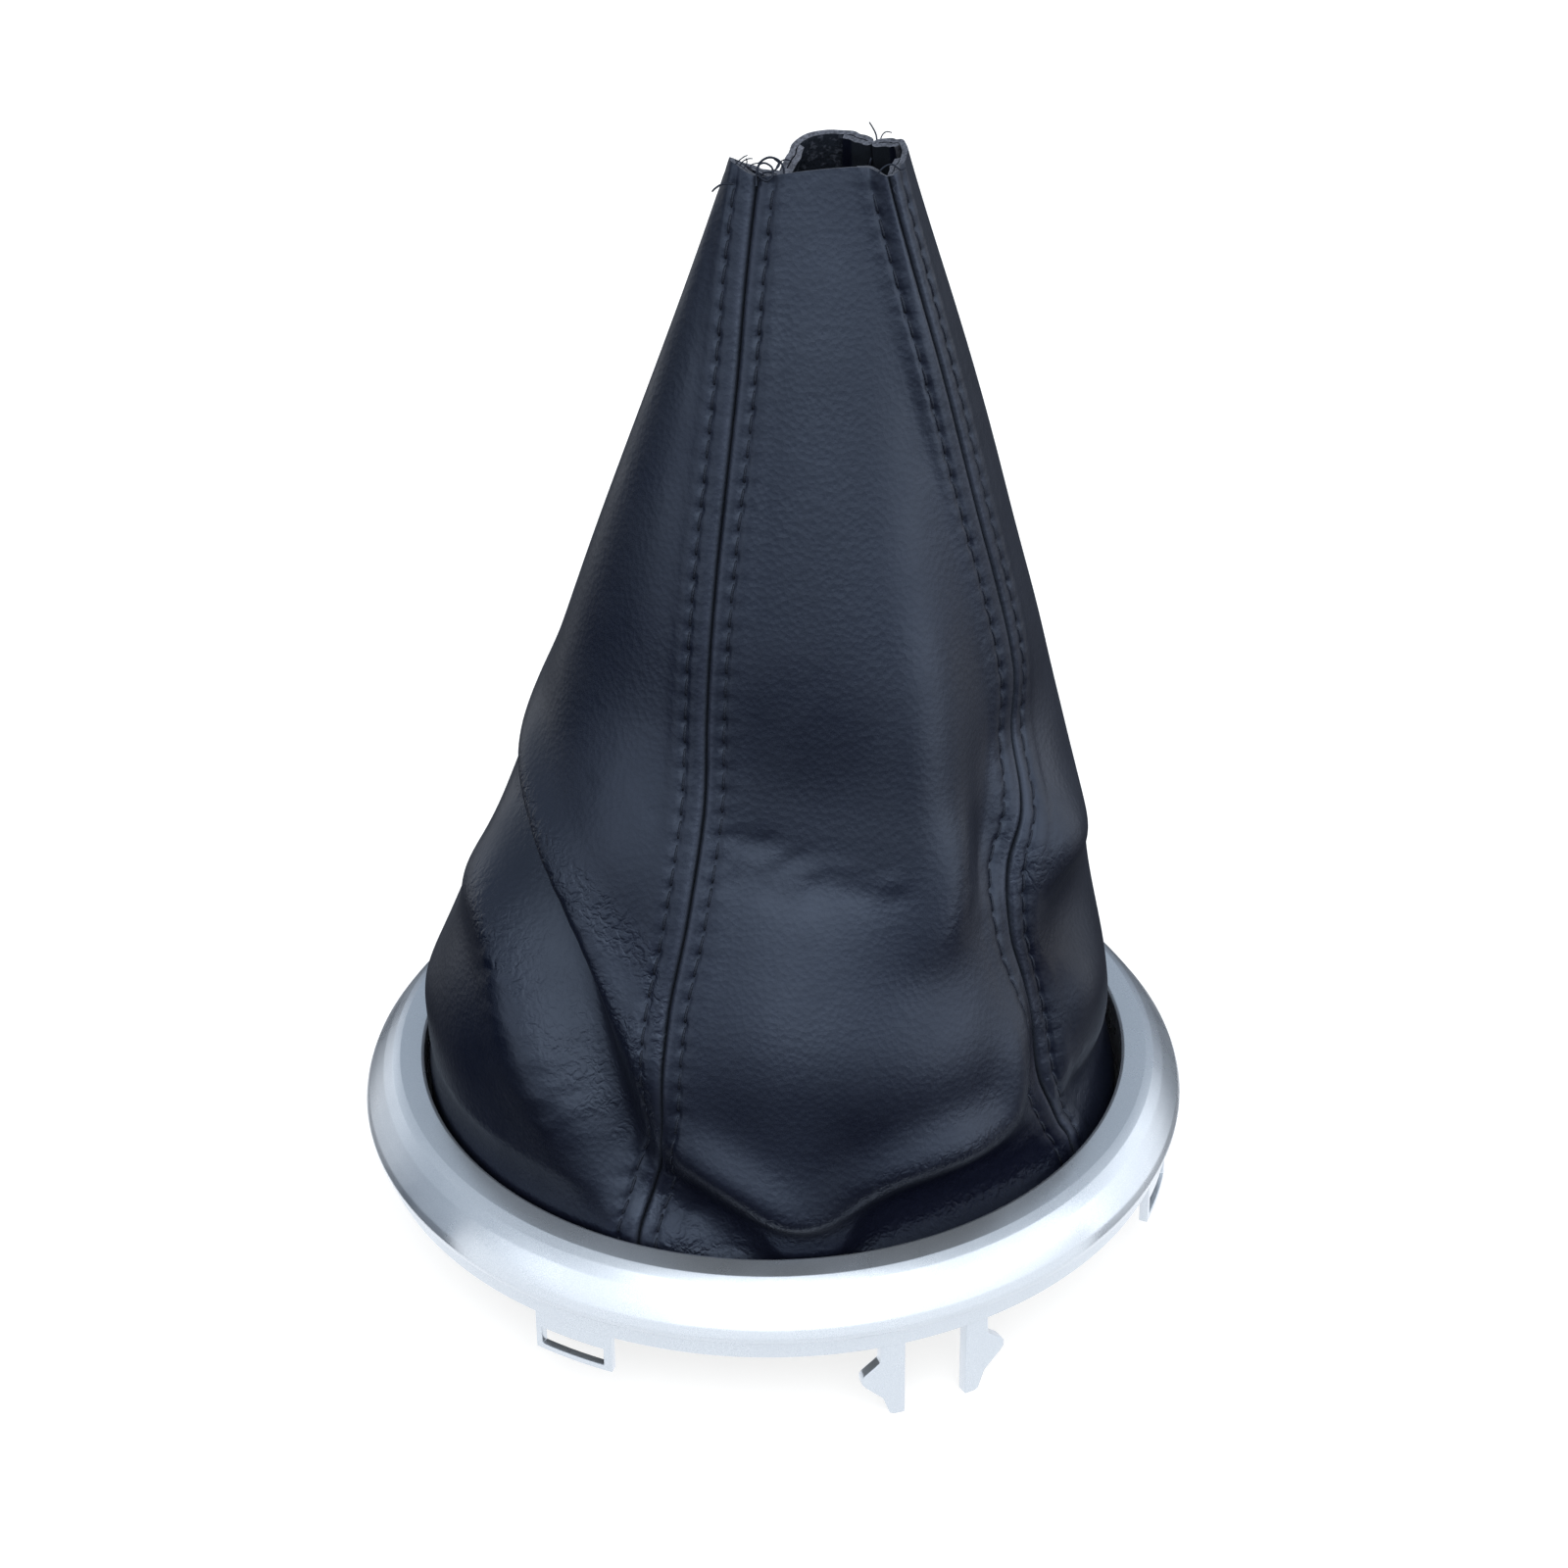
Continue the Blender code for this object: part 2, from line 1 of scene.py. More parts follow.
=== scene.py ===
"""Looks of a gear gaiter: a boot of four leatherette panels sewn into a silver trim ring.

Lengths in the constants and in the surface functions are in mm, in the boot's own frame: the lip of the ring is
at height 0 and the mouth's long axis lies along X. turned() takes a point into the model's frame, in metres.
"""

import math

import bmesh
import bpy
import numpy as np
from mathutils import Matrix, Vector, noise


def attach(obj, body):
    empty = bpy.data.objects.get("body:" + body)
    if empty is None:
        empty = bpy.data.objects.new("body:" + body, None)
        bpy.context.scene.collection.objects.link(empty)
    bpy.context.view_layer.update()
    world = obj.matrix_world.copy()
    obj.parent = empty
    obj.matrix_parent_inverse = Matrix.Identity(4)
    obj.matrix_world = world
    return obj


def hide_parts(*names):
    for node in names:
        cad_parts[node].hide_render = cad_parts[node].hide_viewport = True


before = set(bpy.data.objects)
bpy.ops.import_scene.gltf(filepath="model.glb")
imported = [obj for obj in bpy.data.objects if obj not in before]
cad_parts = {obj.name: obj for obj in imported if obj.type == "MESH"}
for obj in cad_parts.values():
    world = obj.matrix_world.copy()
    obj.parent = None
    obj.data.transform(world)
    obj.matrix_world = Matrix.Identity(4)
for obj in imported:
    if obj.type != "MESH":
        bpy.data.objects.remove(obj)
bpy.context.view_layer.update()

MM = 0.001
GAP = 0.3
LIP_Z = 26.0  # height of the ring's lip above the hook tips
HOOP_TOP = -6.4
BOOT_R = 54.9  # outer face of the leather where it passes the lip
SHEET = 0.85  # thickness of the leatherette
SOFTEN = 3.0  # the normals are averaged over this length
TURN = 22.4  # the mouth's long axis is turned from X by this about Z

# The mouth's outline before the turn, from the front left seam round by the front: x, y, height above the lip.
# It is squashed along X: flat on the left, open on the right, with a high arch at the back.
MOUTH = (
    (-0.8, -2.9, 149.2),  # front left seam
    (3.0, -4.1, 150.1),
    (9.3, -4.0, 150.7),
    (14.4, -3.6, 150.6),
    (17.4, -4.7, 149.8),  # front right seam
    (19.3, -2.2, 150.7),
    (20.4, 2.0, 151.0),
    (19.3, 6.0, 150.8),
    (15.8, 7.2, 150.3),  # back right seam
    (12.8, 9.6, 150.4),
    (8.9, 10.2, 150.6),
    (4.8, 8.4, 150.1),
    (2.2, 4.2, 147.2),  # back left seam
    (-1.5, 3.0, 148.4),
    (-4.8, 0.7, 150.7),  # left corner
    (-3.7, -1.7, 150.4),
)
SEAM_KNOTS = (0, 4, 8, 12)  # places of the four seams in MOUTH
SEAM_AZIMUTHS = (-19.5, 58.0, 162.0, 243.0)  # the same seams at the ring, before the turn

# Each seam wanders a little from its straight line: height as a share of the boot, degrees.
WANDER = (
    ((0.0, -2.3), (0.055, -1.0), (0.1, 0.5), (0.15, 1.0), (0.24, 0.8), (0.33, 2.4), (0.42, 3.1), (0.51, 1.8), (0.64, 1.7),
     (0.81, 2.4), (0.92, 0.8), (1.0, 0.0)),
    ((0.0, 1.2), (0.02, -0.2), (0.085, -5.0), (0.15, -5.7), (0.21, -6.4), (0.255, -7.7), (0.295, -7.0), (0.33, -4.4),
     (0.372, 1.4), (0.42, 6.8), (0.475, 9.4), (0.535, 9.9), (0.6, 9.0), (0.68, 6.8), (0.8, 4.8), (0.93, 2.0), (1.0, 0.0)),
    ((0.0, 0.0), (0.25, 3.0), (0.5, -2.0), (0.75, -1.0), (1.0, 0.0)),
    ((0.0, 0.0), (0.25, -3.0), (0.5, 2.0), (0.75, 1.0), (1.0, 0.0)),
)

# Folds of the leather: azimuth before the turn, share of the height, mm outwards, half-width in mm.
FOLDS = (
    # left: a broad swell of the upper cone, a hollow over a flat bulge, its edge, the valley under it and the lobe
    ((-100, 0.85, 0.6, 22), (-98, 0.62, 1.6, 24), (-98, 0.48, 0.5, 20)),
    ((96, 0.90, 0.9, 18), (96, 0.72, 1.5, 20), (92, 0.56, 1.0, 18)),
    ((-62, 0.51, -1.4, 13), (-46, 0.50, -2.2, 13), (-30, 0.49, -2.2, 13), (-18, 0.48, -1.6, 12)),
    ((-54, 0.375, 1.4, 9), (-41, 0.36, 2.4, 10), (-26, 0.35, 1.9, 10)),
    ((-104, 0.47, 0.3, 6), (-88, 0.43, 1.0, 5), (-76, 0.40, 1.8, 4.5), (-66, 0.382, 2.4, 4.2), (-57, 0.362, 2.7, 4),
     (-50, 0.347, 3.0, 4), (-43, 0.318, 3.1, 4), (-37.5, 0.288, 3.1, 4), (-32, 0.253, 2.9, 4),
     (-27, 0.213, 2.4, 4.2), (-23, 0.18, 1.8, 4.5), (-20.8, 0.145, 0.8, 5)),
    ((-104, 0.37, 0.2, 6), (-93, 0.365, -0.5, 6), (-85, 0.355, -1.6, 5.5), (-77, 0.345, -3.2, 5.5), (-66, 0.33, -4.8, 5.5),
     (-56, 0.308, -5.6, 5.5), (-48, 0.278, -6.2, 5.5), (-42, 0.243, -6.2, 5.5), (-36, 0.20, -5.8, 6), (-31, 0.15, -5.4, 6),
     (-27, 0.105, -4.8, 6), (-22, 0.055, -4.6, 6), (-13, 0.026, -4.8, 6), (-6, 0.004, -4.6, 6), (-1, -0.006, -2.6, 5)),
    ((-17, 0.112, 1.8, 4.5), (-12, 0.10, 2.8, 4.5), (-6, 0.08, 3.2, 4.5), (-1, 0.056, 3.0, 4.5), (3, 0.032, 2.0, 4.5)),
    ((-106, 0.20, -0.6, 8), (-96, 0.23, -0.8, 6), (-87, 0.245, 0.8, 5.5), (-77, 0.258, 2.6, 5.5), (-66, 0.262, 3.2, 5.5),
     (-58, 0.243, 2.8, 5.5), (-52, 0.205, 2.4, 6), (-46, 0.165, 2.4, 6.5), (-40, 0.12, 2.2, 7), (-35, 0.08, 1.8, 8)),
    ((-98, 0.325, -0.6, 7), (-94, 0.19, -1.6, 6), (-80, 0.19, 0.6, 7), (-68, 0.18, 1.6, 9), (-57, 0.15, 1.6, 9), (-49, 0.11, 1.2, 9)),
    ((-92, 0.10, 1.6, 7), (-84, 0.105, 2.4, 7), (-74, 0.11, 1.8, 9), (-62, 0.09, 1.2, 9), (-54, 0.06, 1.0, 9)),
    # front: a ridge down the right of the panel with a hollow beside the seam, a hollow over a lobe over the ring
    ((22, 0.91, 0.3, 7), (26, 0.77, 0.8, 8), (28, 0.66, 1.6, 9), (30, 0.58, 2.4, 9), (30, 0.51, 3.0, 9), (29, 0.44, 3.2, 9),
     (27, 0.385, 3.0, 9), (24, 0.335, 2.4, 9), (20, 0.29, 1.6, 9)),
    ((47, 0.80, -0.4, 6), (50, 0.70, -0.8, 7), (53, 0.60, -1.4, 8), (54, 0.50, -1.8, 8), (52, 0.43, -2.6, 8),
     (48, 0.37, -3.2, 6.5), (46.5, 0.32, -2.6, 6)),
    ((37, 0.40, 1.0, 5), (35.5, 0.36, 2.1, 5), (33, 0.32, 2.1, 5), (28, 0.28, 1.2, 5)),
    ((-10, 0.43, -2.5, 13), (4, 0.43, -3.6, 14), (16, 0.42, -3.2, 13)),
    ((-12, 0.395, -0.4, 4.5), (1, 0.378, -0.6, 4.5), (12, 0.363, -0.6, 4.5), (21, 0.35, -0.4, 4.5)),
    ((-14, 0.22, 2.0, 14), (0, 0.20, 4.0, 15), (14, 0.19, 4.4, 15), (28, 0.18, 4.0, 13), (38, 0.17, 3.0, 10)),
    ((46, 0.20, 1.4, 5), (45, 0.16, 2.4, 4.5), (43.5, 0.12, 2.6, 4.5), (42.5, 0.08, 1.8, 4.5)),
    ((49, 0.15, -1.0, 4.5), (50, 0.11, -2.8, 5), (50.5, 0.07, -3.0, 5.5), (50, 0.035, -1.6, 5.5)),
    ((2, 0.14, 0.8, 8), (4.5, 0.09, 2.4, 7), (6, 0.04, 3.4, 6), (6.2, 0.0, 3.0, 5)),
    ((12, 0.058, 1.6, 4.5), (19, 0.083, 2.6, 5), (29, 0.088, 3.2, 5), (39, 0.08, 2.6, 5)),
    ((15, 0.03, -1.4, 4.5), (22, 0.034, -1.8, 5), (34, 0.03, -1.6, 5), (44, 0.04, -1.6, 5)),
    ((12, -0.006, -2.6, 5), (20, 0.0, -4.2, 6), (32, 0.0, -4.6, 6.5), (44, 0.0, -4.6, 6.5), (55, 0.003, -3.8, 5.5)),
    # right: a hollow along the seam, a crest beside it, a crease under the crest and a bulge over the ring
    ((51, 0.37, -1.2, 6), (48, 0.31, -2.0, 6), (48, 0.26, -2.4, 6), (51, 0.20, -2.6, 6), (54, 0.13, -2.6, 6)),
    ((62, 0.325, 3.2, 6), (73, 0.315, 4.0, 6.5), (86, 0.29, 1.8, 8)),
    ((58, 0.435, -2.6, 7), (70, 0.43, -3.2, 7.5), (82, 0.435, -1.0, 8)),
    ((97, 0.56, 0.9, 11), (97, 0.40, 1.0, 10), (98, 0.24, 1.2, 12)),
    ((61, 0.235, -2.8, 6.5), (74, 0.22, -2.8, 7.5), (86, 0.205, -0.8, 8)),
    ((60, 0.16, 1.8, 6), (70, 0.15, 2.4, 7), (84, 0.15, 1.2, 9)),
    ((57, 0.05, -2.4, 6), (66, 0.02, -4.0, 6), (80, 0.01, -3.6, 6), (96, 0.01, -1.6, 6)),
    # back: one long valley between two bulges
    ((112, 0.28, -0.8, 8), (130, 0.25, -2.8, 9), (160, 0.22, -3.8, 9), (190, 0.25, -3.6, 9), (215, 0.28, -3.0, 9),
     (238, 0.28, -1.6, 8)),
    ((118, 0.10, 1.6, 10), (150, 0.09, 2.4, 11), (185, 0.10, 2.6, 12), (220, 0.10, 2.4, 11), (246, 0.11, 1.0, 10)),
)


def ease(a, b, x):
    t = np.clip((x - a) / (b - a), 0, 1)
    return t * t * (3 - 2 * t)


def mouth(t):
    """The mouth's outline at knot t, a closed curve through MOUTH."""
    knots = np.array(MOUTH, float)
    i = np.floor(t).astype(int)
    f = (t - i)[..., None]
    a, b, c, d = (knots[(i + k) % len(knots)] for k in (-1, 0, 1, 2))
    return 0.5 * (2 * b + (c - a) * f + (2 * a - 5 * b + 4 * c - d) * f**2 + (3 * b - a - 3 * c + d) * f**3)


def fold_sources(folds):
    """The folds as rows of bells: azimuth, height share, mm per degree, width, and lift shared out along the path."""
    rows = []
    for path in folds:
        for (ua, va, la, wa), (ub, vb, lb, wb) in zip(path, path[1:]):
            around = math.radians(1) * (55 - 45 * (va + vb) / 2)
            length = math.hypot((ub - ua) * around, (vb - va) * 150)
            count = math.ceil(length / (0.6 * min(wa, wb)))
            for n in range(count):
                t = (n + 0.5) / count
                width = wa + (wb - wa) * t
                lift = (la + (lb - la) * t) * length / count / (width * math.sqrt(math.pi))
                rows.append((ua + (ub - ua) * t, va + (vb - va) * t, around, width, lift))
    return np.array(rows).T


def fold_height(u, v):
    """How far the folds lift the leather, in mm, on the grid of azimuths u (a row) and heights v (a column)."""
    uk, vk, around, width, lift = SOURCES
    across = ((u.reshape(-1, 1) - uk + 180) % 360 - 180) * around / width
    along = (v.reshape(-1, 1) - vk) * 150 / width
    return (np.exp(-(along**2)) * lift) @ np.exp(-(across**2)).T


def leather(u, v):
    """Points of the boot's outer face in mm, before the turn, on a grid: azimuths u (a row) in degrees, height shares v
    (a column, below 0 inside the collar)."""
    u, v = np.asarray(u, float).reshape(1, -1), np.asarray(v, float).reshape(-1, 1)
    folds = fold_height(u, v)
    u, v = np.broadcast_arrays(u, v)
    start = SEAM_AZIMUTHS[0]
    knot = np.interp((u - start) % 360 + start, (*SEAM_AZIMUTHS, start + 360), (*SEAM_KNOTS, len(MOUTH)))
    top = mouth(knot)
    a = np.radians(u)
    w = np.clip(v, 0, 1)[..., None]
    low = np.stack([BOOT_R * np.sin(a), -BOOT_R * np.cos(a), np.zeros_like(a)], -1)
    p = (1 - w) * low + w * top
    middle = np.stack([8.6 * w[..., 0], 1.8 * w[..., 0], p[..., 2]], -1)
    out = p - middle
    out /= np.linalg.norm(out, axis=-1, keepdims=True)
    left = 0.5 - 0.5 * np.sin(a)
    lift = 2.6 * np.sin(np.pi * w[..., 0] ** 0.8) + left * 2.2 * np.exp(-(((v - 0.16) / 0.13) ** 2)) + folds
    # bulges end at the lip, hollows run on down to the hoop
    swell = (lift + np.sqrt(lift**2 + 0.2)) / 2
    lift = swell * ease(0.0, 0.05, v) + (lift - swell) * ease(-0.042, -0.008, v)
    p = p + out * lift[..., None]
    p[..., 2] += np.minimum(v, 0) * 150
    return p


def turned(p):
    """Row frame, in metres: turned about Z and raised so that the lip is at LIP_Z."""
    a = math.radians(TURN)
    x, y = p[..., 0], p[..., 1]
    return np.stack([x * math.cos(a) + y * math.sin(a), -x * math.sin(a) + y * math.cos(a), p[..., 2] + LIP_Z], -1) * MM


def through(x, knots):
    """A smooth curve through (x, y) knots, with no overshoot."""
    kx, ky = np.array(knots, float).T
    rise = np.diff(ky) / np.diff(kx)
    slope = np.concatenate([[0.0], np.where(rise[1:] * rise[:-1] > 0, (rise[1:] + rise[:-1]) / 2, 0.0), [0.0]])
    i = np.clip(np.searchsorted(kx, x, side="right") - 1, 0, len(kx) - 2)
    h = kx[i + 1] - kx[i]
    t = np.clip((x - kx[i]) / h, 0, 1)
    a, b = ky[i], ky[i + 1]
    return a + (b - a) * t * t * (3 - 2 * t) + h * t * (1 - t) * ((1 - t) * slope[i] - t * slope[i + 1])


def seam_azimuth(k, v):
    return SEAM_AZIMUTHS[k] + through(v, WANDER[k])


def creases(path, gap, length, lean, lift, width):
    """Short creases strewn along a path of (azimuth, height share): every gap mm, leaning from the path by so many degrees."""
    made = []
    for (ua, va), (ub, vb) in zip(path, path[1:]):
        around = math.radians(1) * (55 - 45 * (va + vb) / 2)
        run = np.array(((ub - ua) * around, (vb - va) * 150))
        total = float(np.linalg.norm(run))
        heading = math.atan2(run[1], run[0])
        for n in range(max(1, round(total / gap))):
            seed = 12.9 * n + 3.7 * ua + 57.0 * va
            a, b, c = (math.sin(seed * q) for q in (1.0, 1.7, 2.9))
            angle = heading + math.radians(lean + 22 * a)
            half = length * (0.5 + 0.22 * b) * np.array((math.cos(angle), math.sin(angle)))
            middle = run * (n + 0.5 + 0.35 * c) / max(1, round(total / gap)) + np.array((-math.sin(heading), math.cos(heading))) * 1.6 * b
            ends = [(ua + float(x) / around, va + float(y) / 150) for x, y in (middle - half, middle, middle + half)]
            size = lift * (1.0 if n % 2 else -1.0) * (0.75 + 0.25 * c)
            wide = width * (1.0 + 0.2 * a)
            made.append((
                (*ends[0], 0.2 * size, wide), (ends[1][0] + 0.6 * c / around, ends[1][1] + 0.004 * a, size, wide), (*ends[2], 0.2 * size, wide)
            ))
    return made


# Fine wrinkles that the leather takes where it is bent hardest.
WRINKLES = (
    *creases(((-62, 0.235), (-55, 0.215), (-48, 0.18), (-42, 0.145), (-37, 0.12), (-32, 0.07)), 1.7, 3.68, 62, 0.218, 1.06),
    *creases(((-60, 0.205), (-52, 0.175), (-45, 0.135), (-38, 0.085)), 2.21, 4, 75, 0.156, 1.19),
    *creases(((-84, 0.275), (-76, 0.28), (-66, 0.28)), 2.04, 3.6, 30, 0.156, 1.1),
    *creases(((-50, 0.335), (-44, 0.315), (-36, 0.27)), 2.04, 4, 70, 0.166, 1.1),
    *creases(((-46, 0.43), (-36, 0.425), (-26, 0.42), (-20, 0.415)), 2.04, 4.8, 12, 0.156, 1.1),
    *creases(((-13, 0.40), (-4, 0.392), (6, 0.375), (15, 0.362), (23, 0.348)), 1.87, 4.4, 14, 0.208, 1.06),
    *creases(((-12, 0.375), (-2, 0.365), (8, 0.352)), 2.21, 4.8, 10, 0.146, 1.19),
    *creases(((36, 0.345), (40, 0.315), (42, 0.28)), 1.87, 3.6, 60, 0.177, 1.06),
    *creases(((14, 0.012), (22, 0.02), (32, 0.022), (42, 0.022), (50, 0.03)), 1.445, 3.36, 55, 0.286, 1.02),
    *creases(((-27, 0.06), (-20, 0.045), (-12, 0.028), (-6, 0.018)), 1.445, 3.52, 18, 0.286, 1.02),
    *creases(((-26, 0.028), (-18, 0.018), (-10, 0.01)), 1.615, 3.68, 28, 0.234, 1.02),
    *creases(((56, 0.30), (62, 0.275), (70, 0.26)), 1.87, 3.68, 40, 0.177, 1.1),
    *creases(((58, 0.10), (64, 0.07), (72, 0.05)), 1.7, 3.52, 45, 0.234, 1.06),
    *creases(((120, 0.20), (150, 0.17), (185, 0.18), (215, 0.20), (240, 0.22)), 3.4, 5.6, 30, 0.156, 1.36),
)
SOURCES = fold_sources(FOLDS + WRINKLES)

ROW_LEFT, ROW_RIGHT = 3.3, 2.7  # topstitching on the left and on the right of a seam, from its middle
PITCH = 3.45  # stitch length
HEM_STEP = 0.32  # the sheet lies this much deeper past the folded allowance
ROWS_INSIDE, ROWS_ABOVE = 14, 236  # rows of the fine mesh, inside the collar and above the lip
FACE_COLUMNS = 100


def grid_of_boot():
    """The boot's outer face as a grid of points, its soft normals and the length along each row."""
    v = np.concatenate([np.linspace(-0.056, 0, ROWS_INSIDE + 1)[:-1], np.linspace(0, 1, ROWS_ABOVE) ** 1.06])
    u = np.arange(-60.0, 420.01, 0.4)
    p = leather(u[None, :], v[:, None])
    across = np.gradient(p, axis=1)
    up = np.gradient(p, axis=0)
    n = np.cross(across, up)
    n /= np.linalg.norm(n, axis=-1, keepdims=True)
    s = np.zeros(p.shape[:2])
    s[:, 1:] = np.cumsum(np.linalg.norm(np.diff(p, axis=1), axis=-1), axis=1)
    bell = np.exp(-((np.arange(-16, 17) * 0.5 / SOFTEN) ** 2))
    bell /= bell.sum()
    soft = np.empty_like(n)
    for i in range(len(v)):
        even = np.arange(0, s[i, -1], 0.5)
        for k in range(3):
            line = np.convolve(np.interp(even, s[i], n[i, :, k]), bell, "same")
            soft[i, :, k] = np.interp(s[i], even, line)
    soft /= np.linalg.norm(soft, axis=-1, keepdims=True)
    return u, v, p, soft, s


U, V, BOOT, NORMAL, LENGTH = grid_of_boot()


def on_row(i, s, depth):
    """A point in mm on row i, a length s along it and a depth under the outer face."""
    p = np.stack([np.interp(s, LENGTH[i], BOOT[i, :, k]) for k in range(3)], -1)
    n = np.stack([np.interp(s, LENGTH[i], NORMAL[i, :, k]) for k in range(3)], -1)
    return p - n * np.asarray(depth)[..., None]


def seam_length(i, k):
    """Where seam k crosses row i, as a length along the row. Seam 4 is seam 0 after a whole turn."""
    azimuth = float(seam_azimuth(k % 4, V[i])) + (360 if k == 4 else 0)
    return float(np.interp(azimuth, U, LENGTH[i]))


SEAM_AT = np.array([[seam_length(i, k) for k in range(5)] for i in range(len(V))])
SEAM_LINE = np.array([[on_row(i, SEAM_AT[i, k], 0.0) for i in range(len(V))] for k in range(5)])
SEAM_RUN = np.concatenate([np.zeros((5, 1)), np.cumsum(np.linalg.norm(np.diff(SEAM_LINE, axis=1), axis=-1), axis=1)], axis=1)


def wave(x, seed):
    """A slow smooth wander between about -1 and 1 along x in mm."""
    return math.sin(x / 7.3 + seed) * 0.5 + math.sin(x / 3.1 + 2.3 * seed) * 0.3 + math.sin(x / 17.0 + 5.1 * seed) * 0.4


def drawn_in(x, row, run, phase):
    """How deep the stitches draw the sheet, x mm from the seam's middle and run mm up the seam."""
    to_hole = (run - phase + PITCH / 2) % PITCH - PITCH / 2
    depth = 0.22 * np.exp(-(((x - row) / 0.6) ** 2))
    depth = depth + (0.26 + 0.12 * math.sin(1.9 * math.floor((run - phase) / PITCH + 0.5) + row)) * np.exp(-(((x - row) / 0.42) ** 2) - (to_hole / 0.5) ** 2)
    depth = depth - 0.05 * np.exp(-(((x - 0.55 * row) / 0.8) ** 2))
    return depth + 0.05 * math.cos(2 * math.pi * (run - phase) / PITCH) * np.exp(-(((x - row) / 1.8) ** 2))


def stitch_phase(k, side):
    return 1.1 + 0.7 * (k % 4) + (0.9 if side > 0 else 0.0)


def allowance(v):
    return 6.4 - 1.4 * max(float(v), 0.0)


def panel_rings(k):
    """Rings of points of panel k, one per row: the hemmed sheet cut across, outer side and then inner side."""
    bend = 0.5 * SHEET + 0.1
    turn = SHEET + 0.07
    near = np.concatenate([np.linspace(turn, 4.4, 16), [4.9, 5.5, 6.1, 6.8, 7.6]])
    angles = np.radians(np.linspace(90, 270, 10))[:-1]
    rings = []
    for i, v in enumerate(V):
        length = SEAM_AT[i, k + 1] - SEAM_AT[i, k]
        folded = allowance(v)
        scale = min(1.0, (length / 2 - 4.6) / 3.2)
        edge = np.where(near > 4.4, 4.4 + (near - 4.4) * scale, near)
        face = edge[-1] + (length - 2 * edge[-1]) * np.linspace(0, 1, FACE_COLUMNS + 2)[1:-1]
        x = np.concatenate([edge, face, (length - edge)[::-1]])
        step = HEM_STEP * (ease(folded - 1.2, folded + 1.2, x) + ease(folded - 1.2, folded + 1.2, length - x) - 1)
        # this panel lies on the right of seam k and on the left of the next one
        ends, whole = [], []
        for row, seam, side in ((ROW_RIGHT, k, 1), (ROW_LEFT, k + 1, -1)):
            run, phase = SEAM_RUN[seam, i], stitch_phase(seam, side)
            flap = np.linspace(folded + 0.25 * wave(run, seam + side), turn + 0.5, 8)
            sunk = drawn_in(flap, row, run, phase)
            part = [(s, SHEET / 2 + 2 * bend + q, 0, 1) for s, q in zip(flap, sunk)]
            q = float(drawn_in(turn, row, run, phase))
            part += [(turn + bend * math.cos(t), SHEET / 2 + bend + bend * math.sin(t) + q, math.cos(t), math.sin(t)) for t in angles]
            ends.append(part)
            step = step + drawn_in(x if side > 0 else length - x, row, run, phase)
        whole = ends[0] + [(s, SHEET / 2 + q, 0, -1) for s, q in zip(x, step)]
        whole = np.array(whole + [(length - s, q, -ns, nd) for s, q, ns, nd in reversed(ends[1])])
        outer = whole[:, :2] + whole[:, 2:] * (SHEET / 2)
        inner = whole[:, :2] - whole[:, 2:] * (SHEET / 2)
        loop = np.concatenate([outer, inner[::-1]])
        rings.append(turned(on_row(i, SEAM_AT[i, k] + loop[:, 0], loop[:, 1])))
    return np.array(rings)


def new_object(name, mesh, materials):
    obj = bpy.data.objects.new(name, mesh)
    bpy.context.scene.collection.objects.link(obj)
    for material in materials:
        mesh.materials.append(material)
    return obj


def mesh_of(name, points, faces, kinds=None, uvs=None):
    mesh = bpy.data.meshes.new(name)
    mesh.from_pydata([tuple(q) for q in points], [], [tuple(f) for f in faces])
    if kinds is not None:
        mesh.polygons.foreach_set("material_index", np.asarray(kinds, np.int32))
    if uvs is not None:
        layer = mesh.uv_layers.new(name="OFBake")
        layer.uv.foreach_set("vector", np.asarray(uvs, np.float32).ravel())
    mesh.validate()
    mesh.update()
    mesh.shade_smooth()
    return mesh


def make_panel(name, k, materials):
    """A panel as a closed mesh: leather outside and round the hem, backing inside, and cut edges all round."""
    rings = panel_rings(k)
    rows, count = rings.shape[:2]
    half = count // 2
    j = np.arange(count)
    low = np.arange(rows - 1)[:, None] * count
    sides = np.stack([low + j, low + (j + 1) % count, low + count + (j + 1) % count, low + count + j], -1).reshape(-1, 4)
    kinds = np.tile(np.where(j < half - 1, 0, np.where((j == half - 1) | (j == count - 1), 2, 1)), rows - 1)
    c = np.arange(half - 1)
    cap = np.stack([c, c + 1, count - 2 - c, count - 1 - c], -1)
    top, bottom = cap + (rows - 1) * count, cap[:, ::-1]
    faces = np.concatenate([sides, top, bottom])
    kinds = np.concatenate([kinds, np.full(2 * (half - 1), 2)])
    # the map: round the section across, up the panel, and the two end strips above
    u0, u1 = j / count, (j + 1) / count
    v = np.arange(rows) / (rows - 1) * 0.96
    around = np.stack([u0, u1, u1, u0], -1)[None].repeat(rows - 1, 0)
    height = np.stack([v[:-1], v[:-1], v[1:], v[1:]], -1)[:, None].repeat(count, 1)
    side_map = np.stack([around, height], -1).reshape(-1, 2)
    a, b = c / half, (c + 1) / half
    top_map = np.stack([np.stack([a, b, b, a], -1), np.tile([0.985, 0.985, 0.998, 0.998], (half - 1, 1))], -1).reshape(-1, 2)
    bottom_map = np.stack([np.stack([a, b, b, a], -1)[:, ::-1], np.tile([0.967, 0.967, 0.98, 0.98], (half - 1, 1))], -1).reshape(-1, 2)
    mesh = mesh_of(name, rings.reshape(-1, 3), faces, kinds, np.concatenate([side_map, top_map, bottom_map]))
    mesh.set_sharp_from_angle(angle=math.radians(55))
    return new_object(name, mesh, materials)


